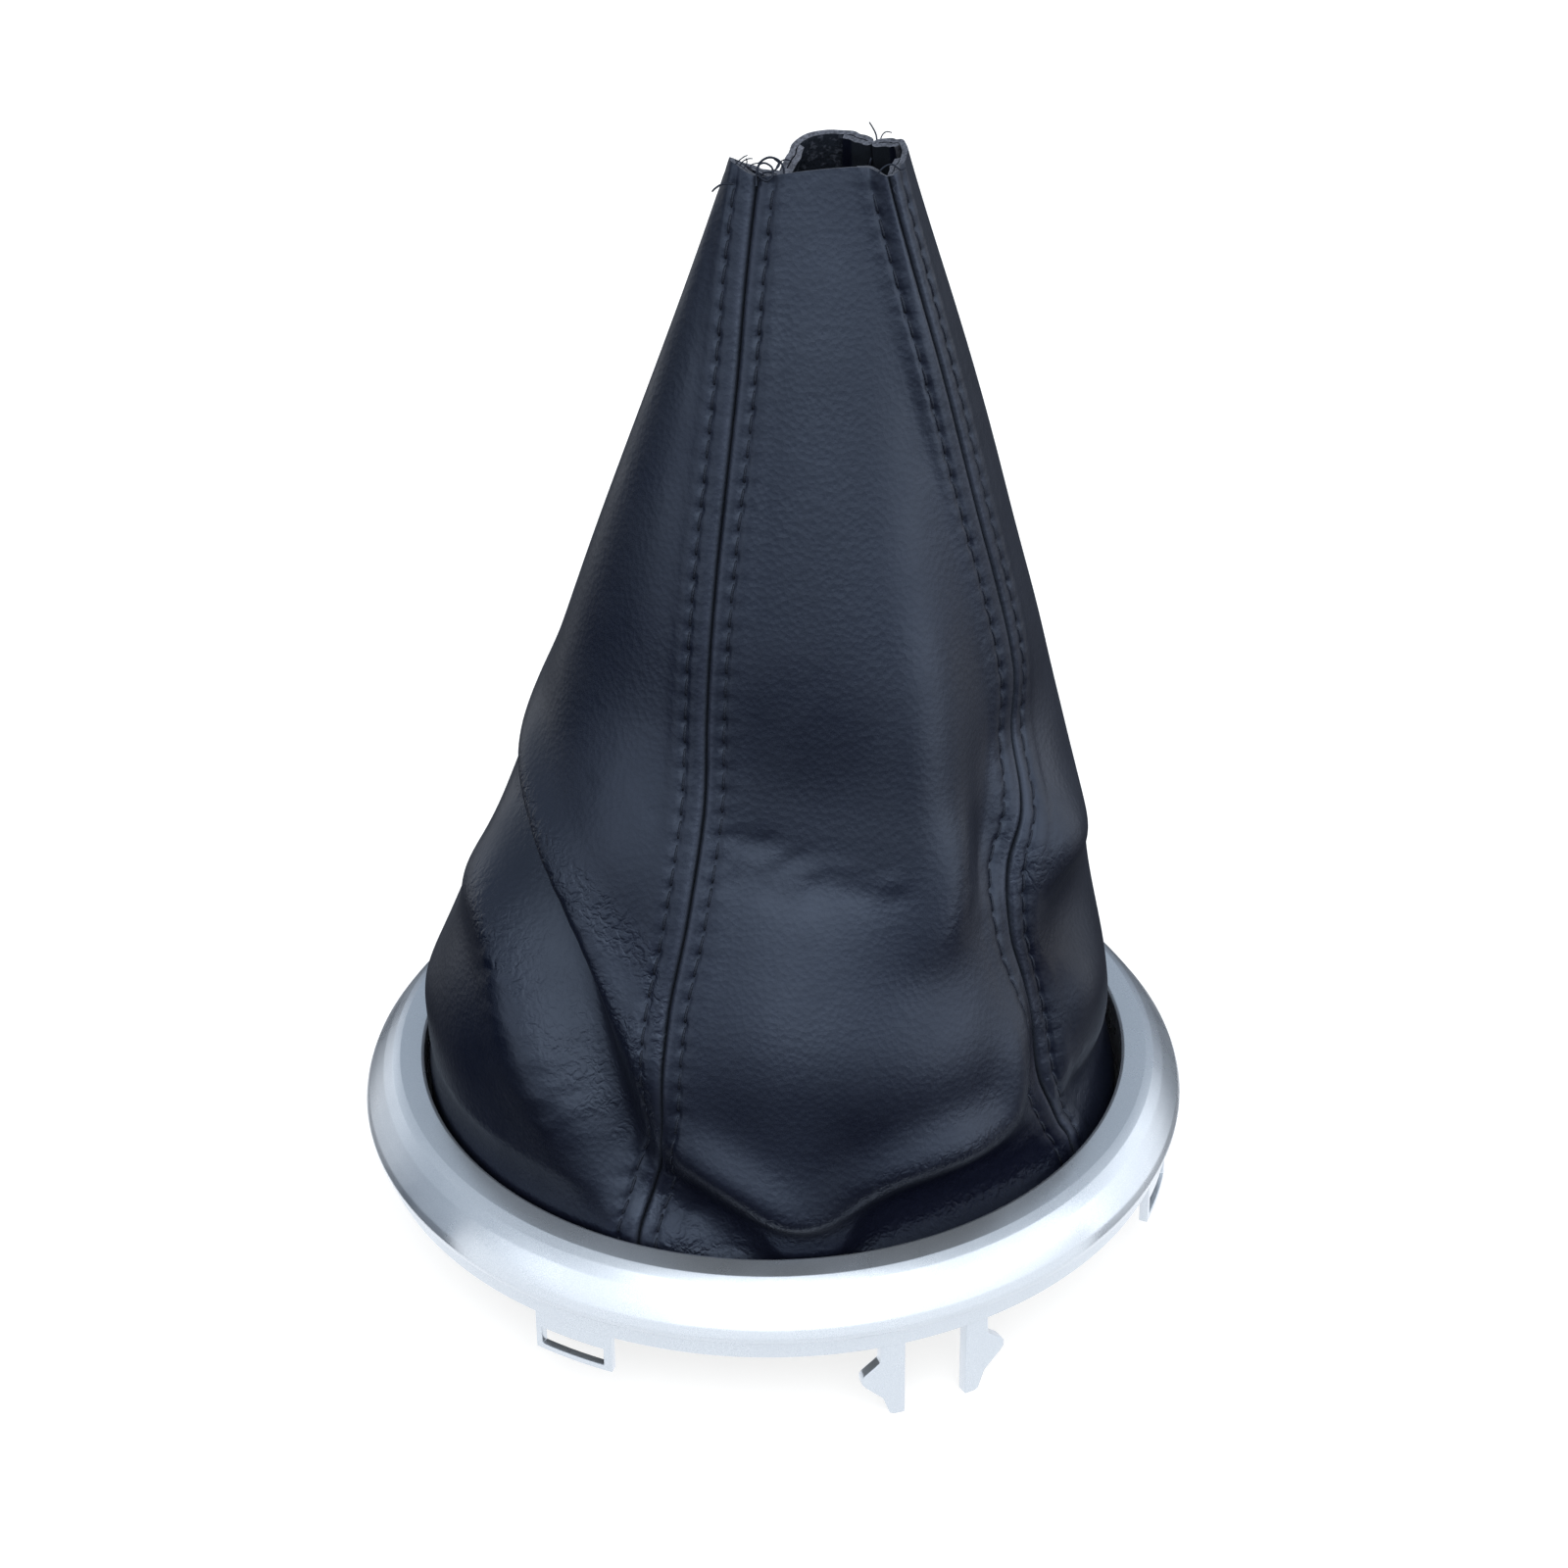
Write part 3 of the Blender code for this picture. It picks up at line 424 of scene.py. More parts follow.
def tube_parts(points, radii, sides, outward):
    """Points and faces of a round tube with closed ends along points in metres."""
    points = np.asarray(points, float)
    ahead = np.gradient(points, axis=0)
    ahead /= np.linalg.norm(ahead, axis=1, keepdims=True)
    side = np.cross(ahead, outward)
    side /= np.linalg.norm(side, axis=1, keepdims=True)
    up = np.cross(side, ahead)
    a = np.arange(sides) * 2 * math.pi / sides
    rings = points[:, None] + np.asarray(radii)[:, None, None] * (np.cos(a)[None, :, None] * side[:, None] + np.sin(a)[None, :, None] * up[:, None])
    n = len(points)
    faces = [tuple(range(sides))[::-1], tuple(range((n - 1) * sides, n * sides))]
    for i in range(n - 1):
        for j in range(sides):
            k = (j + 1) % sides
            faces.append((i * sides + j, i * sides + k, (i + 1) * sides + k, (i + 1) * sides + j))
    return rings.reshape(-1, 3), faces


def join_parts(name, parts, materials):
    points, faces, base = [], [], 0
    for p, f in parts:
        points.append(p)
        faces += [tuple(base + x for x in face) for face in f]
        base += len(p)
    mesh = mesh_of(name, np.concatenate(points), faces)
    mesh.set_sharp_from_angle(angle=math.radians(60))
    return new_object(name, mesh, materials)


def stitch_line(k, x, depth, sideways=0.0):
    """Points in mm beside seam k, x mm to its right, at a depth, and the leather's normals there; one per row."""
    at = [SEAM_AT[i, k] + x for i in range(len(V))]
    p = np.array([on_row(i, at[i], depth) for i in range(len(V))])
    q = np.array([on_row(i, at[i], depth - 1.0) for i in range(len(V))])
    return p, q - p


def make_stitches(name, k, x, depth, side, radius, first, last, material, inside=False):
    """Separate stitches along a row: each rises out of one hole, lies on the leather and dives into the next."""
    line, normal = stitch_line(k, x, depth)
    run = SEAM_RUN[k]
    phase = stitch_phase(k, side)
    out = -1.0 if inside else 1.0
    parts = []
    for j in range(int((run[-1] - phase) / PITCH) + 1):
        start = phase + j * PITCH
        end = start + PITCH
        if start < first or end > run[-1] - last:
            continue
        f = np.linspace(0, 1, 11)
        at = start + 0.30 + (PITCH - 0.60) * f
        rise = radius * (1.3 * np.sin(math.pi * f) ** 0.5 - 0.85) - 0.3 * (2 * f - 1) ** 8
        rise = rise * (1.0 + 0.22 * wave(start * 1.9, side + k)) + 0.04 * wave(start, k)
        lean = (0.10 + 0.12 * wave(start * 1.3, k)) * (f - 0.5) + 0.06 * wave(start, side + k)
        p = np.stack([np.interp(at, run, line[:, c]) for c in range(3)], -1)
        n = np.stack([np.interp(at, run, normal[:, c]) for c in range(3)], -1)
        ahead = np.gradient(p, axis=0)
        ahead /= np.linalg.norm(ahead, axis=1, keepdims=True)
        p = p + out * n * rise[:, None] + np.cross(ahead, n) * lean[:, None]
        radii = radius * (0.72 + 0.28 * np.sin(math.pi * f) ** 0.5) * MM
        turned_p = turned(p)
        turned_n = turned(p + n) - turned_p
        parts.append(tube_parts(turned_p, radii, 8, turned_n / MM))
    return join_parts(name, parts, [material])


class Nodes:
    """A material being built: node(type, inputs) adds a node and links or sets its inputs."""

    def __init__(self, name):
        self.material = bpy.data.materials.new(name)
        self.material.use_nodes = True
        self.tree = self.material.node_tree
        self.shader = self.tree.nodes["Principled BSDF"]

    def set(self, socket, value):
        if isinstance(value, bpy.types.NodeSocket):
            self.tree.links.new(value, socket)
        elif isinstance(value, tuple) and len(value) == 3 and socket.type == "RGBA":
            socket.default_value = (*value, 1.0)
        else:
            socket.default_value = value

    def node(self, kind, out=0, inputs=None, **settings):
        node = self.tree.nodes.new(kind)
        for key, value in settings.items():
            setattr(node, key, value)
        for key, value in (inputs or {}).items():
            self.set(node.inputs[key], value)
        return node.outputs[out]

    def math(self, operation, a, b=0.0, clamp=False):
        node = self.tree.nodes.new("ShaderNodeMath")
        node.operation, node.use_clamp = operation, clamp
        self.set(node.inputs[0], a)
        self.set(node.inputs[1], b)
        return node.outputs[0]

    def noise(self, scale, detail=2.0, roughness=0.5, vector=None, distortion=0.0):
        inputs = {"Scale": scale, "Detail": detail, "Roughness": roughness, "Distortion": distortion}
        inputs["Vector"] = vector or self.place
        return self.node("ShaderNodeTexNoise", inputs=inputs)

    def cells(self, scale, feature="F1", vector=None, randomness=1.0, out=0):
        inputs = {"Scale": scale, "Randomness": randomness, "Vector": vector or self.place}
        return self.node("ShaderNodeTexVoronoi", out=out, inputs=inputs, feature=feature)

    def ramp(self, value, low, high, to_low=0.0, to_high=1.0):
        return self.node("ShaderNodeMapRange", inputs={"Value": value, "From Min": low, "From Max": high, "To Min": to_low, "To Max": to_high})

    def blend(self, factor, a, b):
        node = self.tree.nodes.new("ShaderNodeMix")
        node.data_type = "RGBA"
        for socket, value in ((node.inputs[0], factor), (node.inputs[6], a), (node.inputs[7], b)):
            self.set(socket, value)
        return node.outputs[2]

    def bump(self, height, distance, strength=1.0, normal=None):
        inputs = {"Height": height, "Distance": distance, "Strength": strength}
        if normal is not None:
            inputs["Normal"] = normal
        return self.node("ShaderNodeBump", inputs=inputs)

    @property
    def place(self):
        if not hasattr(self, "_place"):
            self._place = self.node("ShaderNodeTexCoord", out=3)
        return self._place

    def finish(self, **inputs):
        for key, value in inputs.items():
            self.set(self.shader.inputs[key.replace("_", " ")], value)
        return self.material


def leather_material():
    m = Nodes("leatherette_navy_black")
    bent = m.node("ShaderNodeAttribute", out=2, attribute_name="bent")
    edge = m.node("ShaderNodeAttribute", out=2, attribute_name="edge")
    groove_shade = m.node("ShaderNodeAttribute", out=2, attribute_name="groove_shade")
    shade = m.node("ShaderNodeAttribute", out=2, attribute_name="shade")
    pebble = m.cells(1150.0, "F1")
    pores = m.noise(2600.0, 2.0, 0.6)
    patches = m.noise(95.0, 3.0, 0.55)
    slow = m.noise(28.0, 2.0, 0.5)
    crease = m.node("ShaderNodeTexNoise", inputs={"Vector": m.place, "Scale": 620.0, "Detail": 2.0, "Roughness": 0.5, "Distortion": 0.3})
    ridged = m.math("ABSOLUTE", m.math("SUBTRACT", crease, 0.5))
    grain = m.bump(m.math("ADD", m.math("MULTIPLY", pebble, 0.8), m.math("MULTIPLY", pores, 0.35)), 0.00008, 0.6)
    wrinkled = m.bump(m.math("MULTIPLY", m.ramp(ridged, 0.0, 0.16), bent), 0.00018, 0.5, grain)
    normal = m.bump(patches, 0.0003, 0.35, wrinkled)
    dark, light = (0.0026, 0.0032, 0.0078), (0.0042, 0.0052, 0.0120)
    colour = m.blend(m.ramp(slow, 0.35, 0.65), dark, light)
    colour = m.blend(m.math("MULTIPLY", m.ramp(pebble, 0.25, 0.75), 0.35), colour, (0.0022, 0.0027, 0.0062))
    # lighter and smoother on the hem's rolled shoulder: partly rubbed wear, partly a painted highlight along the seam
    colour = m.blend(m.math("MULTIPLY", edge, m.ramp(patches, 0.35, 0.7, 0.25, 0.85)), colour, (0.020, 0.023, 0.036))
    # painted shade: near black where the seam's groove opens between the panels
    colour = m.blend(groove_shade, colour, (0.0006, 0.0007, 0.0012))
    rough = m.math("ADD", m.ramp(patches, 0.3, 0.7, 0.36, 0.47), m.math("MULTIPLY", edge, -0.08))
    rough = m.math("ADD", rough, m.math("MULTIPLY", groove_shade, 0.45), clamp=True)
    # painted shade: the reflection is tinted dark in the deep parts of the folds
    return m.finish(Base_Color=colour, Roughness=rough, Normal=normal, IOR=1.49, Specular_Tint=m.blend(shade, (0.62, 0.76, 1.0), (0.07, 0.09, 0.14)))


def backing_material():
    m = Nodes("knit_backing")
    knit = m.cells(1500.0, "F1")
    fluff = m.noise(3800.0, 3.0, 0.65)
    specks = m.ramp(m.noise(1300.0, 1.0), 0.56, 0.68)
    colour = m.blend(m.math("MULTIPLY", specks, 0.7), (0.004, 0.005, 0.008), (0.060, 0.066, 0.085))
    normal = m.bump(m.math("ADD", knit, fluff), 0.0003, 0.8)
    return m.finish(Base_Color=colour, Roughness=0.92, Normal=normal, Specular_Tint=(0.62, 0.76, 1.0))


def cut_material():
    m = Nodes("cut_edge")
    layers = m.noise(2200.0, 2.0, 0.7)
    colour = m.blend(m.ramp(layers, 0.35, 0.7), (0.028, 0.031, 0.042), (0.115, 0.125, 0.155))
    normal = m.bump(layers, 0.00015, 0.6)
    return m.finish(Base_Color=colour, Roughness=0.8, Normal=normal)


def thread_material():
    m = Nodes("bonded_thread")
    strands = m.noise(5200.0, 2.0, 0.5)
    colour = m.blend(m.ramp(strands, 0.4, 0.65), (0.002, 0.002, 0.004), (0.009, 0.010, 0.015))
    normal = m.bump(strands, 0.0001, 0.7)
    return m.finish(Base_Color=colour, Roughness=0.5, Normal=normal, IOR=1.42, Specular_Tint=(0.60, 0.74, 1.0))


def silver_material():
    m = Nodes("silver_paint")
    flakes = m.noise(6500.0, 1.0, 0.5)
    cloud = m.noise(45.0, 3.0, 0.6)
    streaks = m.noise(150.0, 3.0, 0.6)
    peel = m.noise(700.0, 1.0)
    colour = m.blend(m.ramp(flakes, 0.35, 0.65), (0.50, 0.54, 0.585), (0.585, 0.62, 0.66))
    colour = m.blend(m.ramp(cloud, 0.4, 0.7, 0.0, 0.22), colour, (0.46, 0.50, 0.54))
    rough = m.math("ADD", m.ramp(cloud, 0.3, 0.7, 0.23, 0.32), m.ramp(streaks, 0.45, 0.7, 0.0, 0.05))
    normal = m.bump(peel, 0.00003, 0.3)
    return m.finish(Base_Color=colour, Roughness=rough, Metallic=0.82, Normal=normal, Coat_Weight=0.15, Coat_Roughness=0.2)


def hoop_material():
    m = Nodes("black_moulding")
    sparks = m.noise(3000.0, 3.0, 0.6)
    cloud = m.noise(150.0, 3.0, 0.6)
    colour = m.blend(m.ramp(cloud, 0.35, 0.65), (0.016, 0.016, 0.018), (0.030, 0.030, 0.033))
    normal = m.bump(sparks, 0.00008, 0.6)
    return m.finish(Base_Color=colour, Roughness=m.ramp(cloud, 0.3, 0.7, 0.42, 0.60), Normal=normal)


def rounded(corners):
    """A closed outline through corners (r, z, fillet), each corner rounded off by an arc of its own fillet."""
    points = []
    count = len(corners)
    for i, (r, z, fillet) in enumerate(corners):
        here = np.array((r, z))
        back, ahead = np.array(corners[i - 1][:2]) - here, np.array(corners[(i + 1) % count][:2]) - here
        lb, la = np.linalg.norm(back), np.linalg.norm(ahead)
        if fillet <= 0:
            points.append(here)
            continue
        back, ahead = back / lb, ahead / la
        angle = math.acos(float(np.clip(back @ ahead, -1, 1)))
        reach = min(fillet / math.tan(angle / 2), 0.45 * lb, 0.45 * la)
        start, end = here + back * reach, here + ahead * reach
        steps = 2 if angle > 2.6 else 5
        for k in range(steps + 1):
            f = k / steps
            points.append((1 - f) ** 2 * start + 2 * f * (1 - f) * here + f**2 * end)
    return np.array(points)


def revolve(profile, steps):
    """Points and faces of a closed ring turned about Z from a closed outline in (r, height above the lip), mm."""
    count = len(profile)
    a = np.arange(steps) * 2 * math.pi / steps
    r, z = profile[:, 0], profile[:, 1]
    points = np.stack([r[None] * np.sin(a)[:, None], -r[None] * np.cos(a)[:, None], np.broadcast_to(z + LIP_Z, (steps, count))], -1)
    i, j = np.meshgrid(np.arange(steps), np.arange(count), indexing="ij")
    i2, j2 = (i + 1) % steps, (j + 1) % count
    faces = np.stack([i * count + j, i2 * count + j, i2 * count + j2, i * count + j2], -1).reshape(-1, 4)
    return points.reshape(-1, 3) * MM, [tuple(map(int, f)) for f in faces]


COLLAR_R, COLLAR_DEPTH, WALL = 55.4, 9.0, 1.7
CREST_R, RING_R, BAND_DEPTH = 59.2, 65.0, 9.1
SKIRT_R, SKIRT_DEPTH, SKIRT_WALL = 63.4, 12.4, 1.6
HOOK_GROUPS, HOOK_GAP, HOOK_WIDTH, HOOK_THICK, BARB = (0.0, 128.0, -128.0), 10.0, 3.7, 1.9, 3.0
LOOPS, LOOP_WIDTH, LOOP_DEPTH = (-51.0, 51.0, 180.0), 13.2, 19.3


def softened(points, faces, width, angle=30, subdivide=0):
    """The same closed mesh with its sharp edges rounded."""
    bm = bmesh.new()
    verts = [bm.verts.new(Vector(q)) for q in points]
    for f in faces:
        bm.faces.new([verts[x] for x in f])
    bmesh.ops.recalc_face_normals(bm, faces=bm.faces)
    sharp = [x for x in bm.edges if len(x.link_faces) == 2 and x.calc_face_angle(0) > math.radians(angle)]
    bmesh.ops.bevel(bm, geom=sharp, offset=width * MM, segments=3, profile=0.6, affect="EDGES", clamp_overlap=True)
    bm.verts.index_update()
    out = np.array([v.co for v in bm.verts]), [tuple(v.index for v in f.verts) for f in bm.faces]
    bm.free()
    return out


def tongue(azimuth, outline, inner, outer):
    """A flat hook under the skirt: its outline in (along the tangent, height), between two distances from the axis."""
    a = math.radians(azimuth)
    ahead, out = np.array((math.cos(a), math.sin(a), 0)), np.array((math.sin(a), -math.cos(a), 0))
    n = len(outline)
    points = np.array([(ahead * t + out * r + np.array((0, 0, z + LIP_Z))) * MM for r in (inner, outer) for t, z in outline])
    faces = [tuple(range(n)), tuple(range(2 * n - 1, n - 1, -1))]
    faces += [(j, (j + 1) % n, n + (j + 1) % n, n + j) for j in range(n)]
    return points, faces


def window(azimuth, top, inner, outer):
    """A loop: a frame round a window, bent to the skirt and closed on itself."""
    half, left, right = LOOP_WIDTH / 2, -LOOP_WIDTH / 2 + 1.05, LOOP_WIDTH / 2 - 1.35
    low, sill, head, steps = -LOOP_DEPTH, -LOOP_DEPTH + 0.95, -15.2, 8
    f = np.linspace(0, 1, steps + 1)
    run = [(-half + 2 * half * x, low, left + (right - left) * x, sill) for x in f]
    run += [(half - 2 * half * x, top, right - (right - left) * x, head) for x in f]
    points = []
    for t, z, tw, zw in run:
        for tt, r, zz in ((t, outer, z), (tw, outer, zw), (tw, inner, zw), (t, inner, z)):
            a = math.radians(azimuth) + tt / SKIRT_R
            points.append((r * math.sin(a) * MM, -r * math.cos(a) * MM, (zz + LIP_Z) * MM))
    n = len(run)
    faces = [(4 * i + j, 4 * i + (j + 1) % 4, 4 * ((i + 1) % n) + (j + 1) % 4, 4 * ((i + 1) % n) + j) for i in range(n) for j in range(4)]
    return np.array(points), faces


def make_ring():
    """The trim ring: a turned moulding with a flat lip, a rounded band and a skirt, with its hooks and loops."""
    z = -COLLAR_DEPTH
    profile = rounded([
        (COLLAR_R, z, 0.2), (COLLAR_R, -0.25, 0.25), (COLLAR_R + 0.5, 0.0, 0.5),
        (CREST_R, -0.35, 0.45), (CREST_R + 1.3, -1.2, 1.2), (CREST_R + 2.8, -2.75, 3.0), (CREST_R + 4.2, -4.7, 3.0),
        (RING_R - 0.5, -6.3, 2.0), (RING_R, -7.6, 1.2), (RING_R - 0.2, -8.5, 0.8), (RING_R - 0.9, -BAND_DEPTH + 0.05, 0.3),
        (SKIRT_R, -BAND_DEPTH, 0.15), (SKIRT_R, -SKIRT_DEPTH, 0.25), (SKIRT_R - SKIRT_WALL, -SKIRT_DEPTH, 0.25),
        (SKIRT_R - SKIRT_WALL, -7.0, 1.0), (CREST_R - 0.2, -2.6, 1.0), (COLLAR_R + WALL, -2.3, 0.5), (COLLAR_R + WALL, z, 0.2),
    ])
    parts = [revolve(profile, 360)]
    root = -SKIRT_DEPTH + 2.2
    for azimuth in HOOK_GROUPS:
        for side in (-1, 1):
            w = HOOK_WIDTH / 2
            shape = [
                (-w, root), (w, root), (w + 0.15, -14.9), (w + 0.2, -15.5), (w + 0.9, -16.15), (w + BARB - 0.45, -17.5), (w + BARB, -18.1),
                (w + BARB, -19.1), (w + BARB - 0.5, -19.8), (w - 0.3, -22.6), (0.5, -LIP_Z + 0.35), (-0.1, -LIP_Z), (-w, -LIP_Z),
            ]
            at = azimuth + side * math.degrees((HOOK_GAP + HOOK_WIDTH) / 2 / SKIRT_R)
            points, faces = tongue(at, [(side * t, z) for t, z in shape], SKIRT_R - HOOK_THICK - 0.2, SKIRT_R - 0.2)
            parts.append(softened(points, faces, 0.22, 40))
    for azimuth in LOOPS:
        parts.append(softened(*window(azimuth, root, SKIRT_R - 1.5, SKIRT_R - 0.12), 0.18, 40))
    obj = join_parts("trim_ring_moulding", parts, [SILVER])
    obj.data.set_sharp_from_angle(angle=math.radians(38))
    return obj


def make_hoop():
    """The retaining hoop inside the boot's foot, with a flange under the collar."""
    r, low, top, wall = BOOT_R - 2 * SHEET - 2 * GAP, -10.9, HOOP_TOP, 1.4
    profile = rounded([
        (r - wall, low, 0.3), (r - wall, top, 0.3), (r, top, 0.3), (r, low + wall, 0.4),
        (COLLAR_R + WALL + 1.2, low + wall, 0.3), (COLLAR_R + WALL + 1.2, low, 0.3),
    ])
    return join_parts("retaining_hoop_moulding", [revolve(profile, 240)], [BLACK])


LEATHER, BACKING, CUT = leather_material(), backing_material(), cut_material()
THREAD, SILVER, BLACK = thread_material(), silver_material(), hoop_material()


def dress(obj, k):
    """Where panel k is bent hard, where its hem is rubbed and carries a painted highlight, and where painted shade
    darkens the seam's groove and the deep folds, as values on its points.
    """
    count = len(obj.data.vertices) // len(V)
    half = count // 2
    curve = np.zeros((len(V), count))
    shade = np.zeros((len(V), count))
    edge = np.zeros((len(V), count))
    # the hem's rolled shoulder: rubbed wear and a painted highlight
    edge[:, 8:20] = np.exp(-(((np.arange(8, 20) - 15.5) / 2.6) ** 2))
    edge[:, half - 20:half - 8] = edge[:, 8:20][:, ::-1]
    edge[:, half - 20:half - 8] *= 1.0
    for i in range(len(V)):
        azimuths = np.interp(np.linspace(SEAM_AT[i, k], SEAM_AT[i, k + 1], half), LENGTH[i], U)
        curve[i, :half] = np.interp(azimuths, U, BENT[i])
        shade[i, :half] = np.interp(azimuths, U, SHADE[i])
    # painted shade in the seam's groove, on the hem's outer side
    groove_shade = np.zeros((len(V), count))
    groove_shade[:, 4:17] = (1, 1, 1, 1, 1, 1, 1, 1, 1, 1, 0.9, 0.45, 0.1)
    groove_shade[:, half - 17:half - 4] = groove_shade[:, 4:17][:, ::-1]
    for name, values in (("bent", curve), ("edge", edge), ("groove_shade", groove_shade), ("shade", shade)):
        attribute = obj.data.attributes.new(name, "FLOAT", "POINT")
        attribute.data.foreach_set("value", values.ravel().astype(np.float32))


# Painted shade for the deep parts of the folds, where the leather sees little but itself: its reflection is tinted dark
# there. Azimuth, height share, strength, half-width in mm.
SHADED = (
    ((-27, 0.125, 0.6, 5.5), (-17, 0.098, 1.1, 5.5), (-8, 0.074, 1.2, 5.5), (0, 0.036, 0.8, 4.5)),
    ((12, 0.0, 0.7, 5), (22, 0.016, 1.2, 6.5), (36, 0.018, 1.3, 7), (54, 0.024, 1.0, 6.5)),
    ((45.5, 0.18, 0.5, 4), (46, 0.14, 1.3, 5.5), (48, 0.09, 1.4, 6.5)),
    ((61, 0.215, 0.4, 6), (68, 0.21, 1.3, 7), (84, 0.205, 0.9, 7)),
    ((-38, 0.20, 0.5, 5), (-33, 0.15, 0.7, 5.5), (-28, 0.11, 0.6, 5.5)),
)


def shade_grid():
    """How much painted shade each point of the boot's grid takes for lying deep in a fold, from 0 to 1."""
    uk, vk, around, width, lift = fold_sources(SHADED)
    across = (np.reshape(U, (-1, 1)) - uk) * around / width
    along = (np.reshape(V, (-1, 1)) - vk) * 150 / width
    return np.clip((np.exp(-(along**2)) * lift) @ np.exp(-(across**2)).T, 0, 1)


def bent_grid():
    """How sharply the boot's face is bent at each point of its grid, from 0 to 1."""
    p = BOOT
    total = np.zeros(p.shape[:2])
    reach = 4
    up = np.roll(p, -reach, 0) + np.roll(p, reach, 0) - 2 * p
    side = np.roll(p, -2 * reach, 1) + np.roll(p, 2 * reach, 1) - 2 * p
    total = np.abs((up * NORMAL).sum(-1)) + np.abs((side * NORMAL).sum(-1)) * 0.6
    total[:reach] = total[reach]
    total[-reach:] = total[-reach - 1]
    return np.clip((total - 0.25) / 1.3, 0, 1)


SHADE = shade_grid()
BENT = bent_grid()

PANELS = ("front_panel", "right_panel", "back_panel", "left_panel")
SEAMS = ("front_left", "front_right", "back_right", "back_left")

for k, name in enumerate(PANELS):
    panel = make_panel(name + "_leather", k, [LEATHER, BACKING, CUT])
    dress(panel, k)
    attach(panel, "root")
    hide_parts(name)

for k, name in enumerate(SEAMS):
    for side, word, x in ((-1, "left", -ROW_LEFT), (1, "right", ROW_RIGHT)):
        row = make_stitches(f"stitches_{name}_{word}", k, x, 0.30, side, 0.22, 2.0, 0.6, THREAD)
        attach(row, "root")
        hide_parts(f"topstitch_{name}_{word}")
    row = make_stitches(f"closing_stitches_{name}", k, 0.0, 2 * SHEET + GAP + 0.10, 1, 0.22, 5.0, 1.0, THREAD, inside=True)
    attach(row, "root")
    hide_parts(f"closing_stitch_{name}")

TO_CAMERA = Vector((-0.3204, -0.7773, 0.5414)).normalized()
AIM = Vector((1.99, -0.82, 73.46)) * MM
right = Vector((0, 0, 1)).cross(TO_CAMERA).normalized()
up = TO_CAMERA.cross(right)
roll = math.radians(-0.53)
right = right * math.cos(roll) + up * math.sin(roll)
up = TO_CAMERA.cross(right)

front = (TO_CAMERA * Vector((1, 1, 0))).normalized()

# Loose ends of thread at the mouth: from the top of a seam, mm to the right, up and towards the view.
ENDS = (
    (0, 0.176, ((-0.1, -1.4, 0.3), (0.0, 0.6, 0.4), (0.5, 1.9, 0.5), (1.7, 2.5, 0.8), (3.0, 2.1, 0.7), (3.7, 1.0, 0.5), (3.6, -0.5, 0.1), (3.3, -1.2, -0.2))),
    (0, 0.160, ((0.1, 0.7, 0.5), (0.5, -0.3, 0.9), (1.3, -0.8, 1.1), (2.1, -0.2, 1.2), (2.1, 1.0, 1.0), (1.2, 1.7, 0.7), (0.4, 1.6, 0.4), (0.1, 0.9, 0.1))),
    (0, 0.144, ((0.2, -0.6, 0.4), (0.9, 0.3, 1.0), (2.2, 0.5, 1.2), (3.1, 1.5, 0.9), (2.4, 2.3, 0.6))),
    (0, 0.160, ((-3.3, -1.0, -0.3), (-4.2, -1.0, 0.1), (-5.0, -1.2, 0.2), (-5.8, -1.7, 0.1), (-6.2, -2.1, -0.1))),
    (0, 0.096, ((-3.0, 1.7, -0.3), (-2.5, 2.2, -0.2), (-1.8, 2.7, 0.0), (-1.3, 2.9, 0.1))),
    (0, 0.096, ((-2.4, 1.5, -0.3), (-1.9, 2.1, 0.0), (-1.2, 2.4, 0.2), (-0.6, 2.4, 0.3))),
    (0, 0.096, ((-1.8, 1.2, -0.2), (-1.4, 1.9, 0.0), (-1.5, 2.5, 0.1))),
    (0, 0.096, ((-1.2, 0.9, 0.0), (-0.7, 1.6, 0.2), (0.2, 1.8, 0.4), (0.9, 2.2, 0.5))),
    (1, 0.128, ((-1.6, 0.5, 0.1), (-0.6, 1.4, 0.3), (0.4, 1.6, 0.4), (1.5, 0.9, 0.4), (2.2, 1.2, 0.2))),
    (1, 0.112, ((0.3, -0.2, 0.3), (0.9, -1.0, 0.6), (0.5, -1.8, 0.7), (0.9, -2.6, 0.5))),
    (2, 0.128, ((0.2, -1.2, 0.0), (0.1, 0.3, 0.1), (-0.3, 1.3, 0.0), (-0.9, 2.3, -0.1))),
    (2, 0.096, ((0.5, -0.8, 0.0), (0.9, 0.4, 0.1), (1.5, 0.9, 0.1), (2.3, 0.8, 0.0))),
    (3, 0.112, ((-0.5, -0.6, 0.1), (0.0, 0.6, 0.1), (0.9, 1.2, 0.2), (1.9, 1.0, 0.1))),
)


def make_ends():
    """The loose thread ends as fine tubes along smooth curves."""
    parts = []
    for k, radius, knots in ENDS:
        here = SEAM_LINE[k][-1]
        origin = np.array(turned(here))
        axes = np.array([right, up, TO_CAMERA])
        pts = np.array(knots, float)
        t = np.linspace(0, len(pts) - 1, 9 * (len(pts) - 1) + 1)
        i = np.clip(np.floor(t).astype(int), 0, len(pts) - 2)
        f = (t - i)[:, None]
        b, c = pts[i], pts[i + 1]
        a, d = pts[np.maximum(i - 1, 0)], pts[np.minimum(i + 2, len(pts) - 1)]
        curve = 0.5 * (2 * b + (c - a) * f + (2 * a - 5 * b + 4 * c - d) * f**2 + (3 * b - a - 3 * c + d) * f**3)
        radii = radius * (1 - 0.25 * np.linspace(0, 1, len(curve)) ** 4) * MM
        parts.append(tube_parts(origin + curve @ axes * MM, radii, 7, np.tile(np.array(TO_CAMERA), (len(curve), 1)) + 0.01))
    return join_parts("seam_thread_ends", parts, [THREAD])


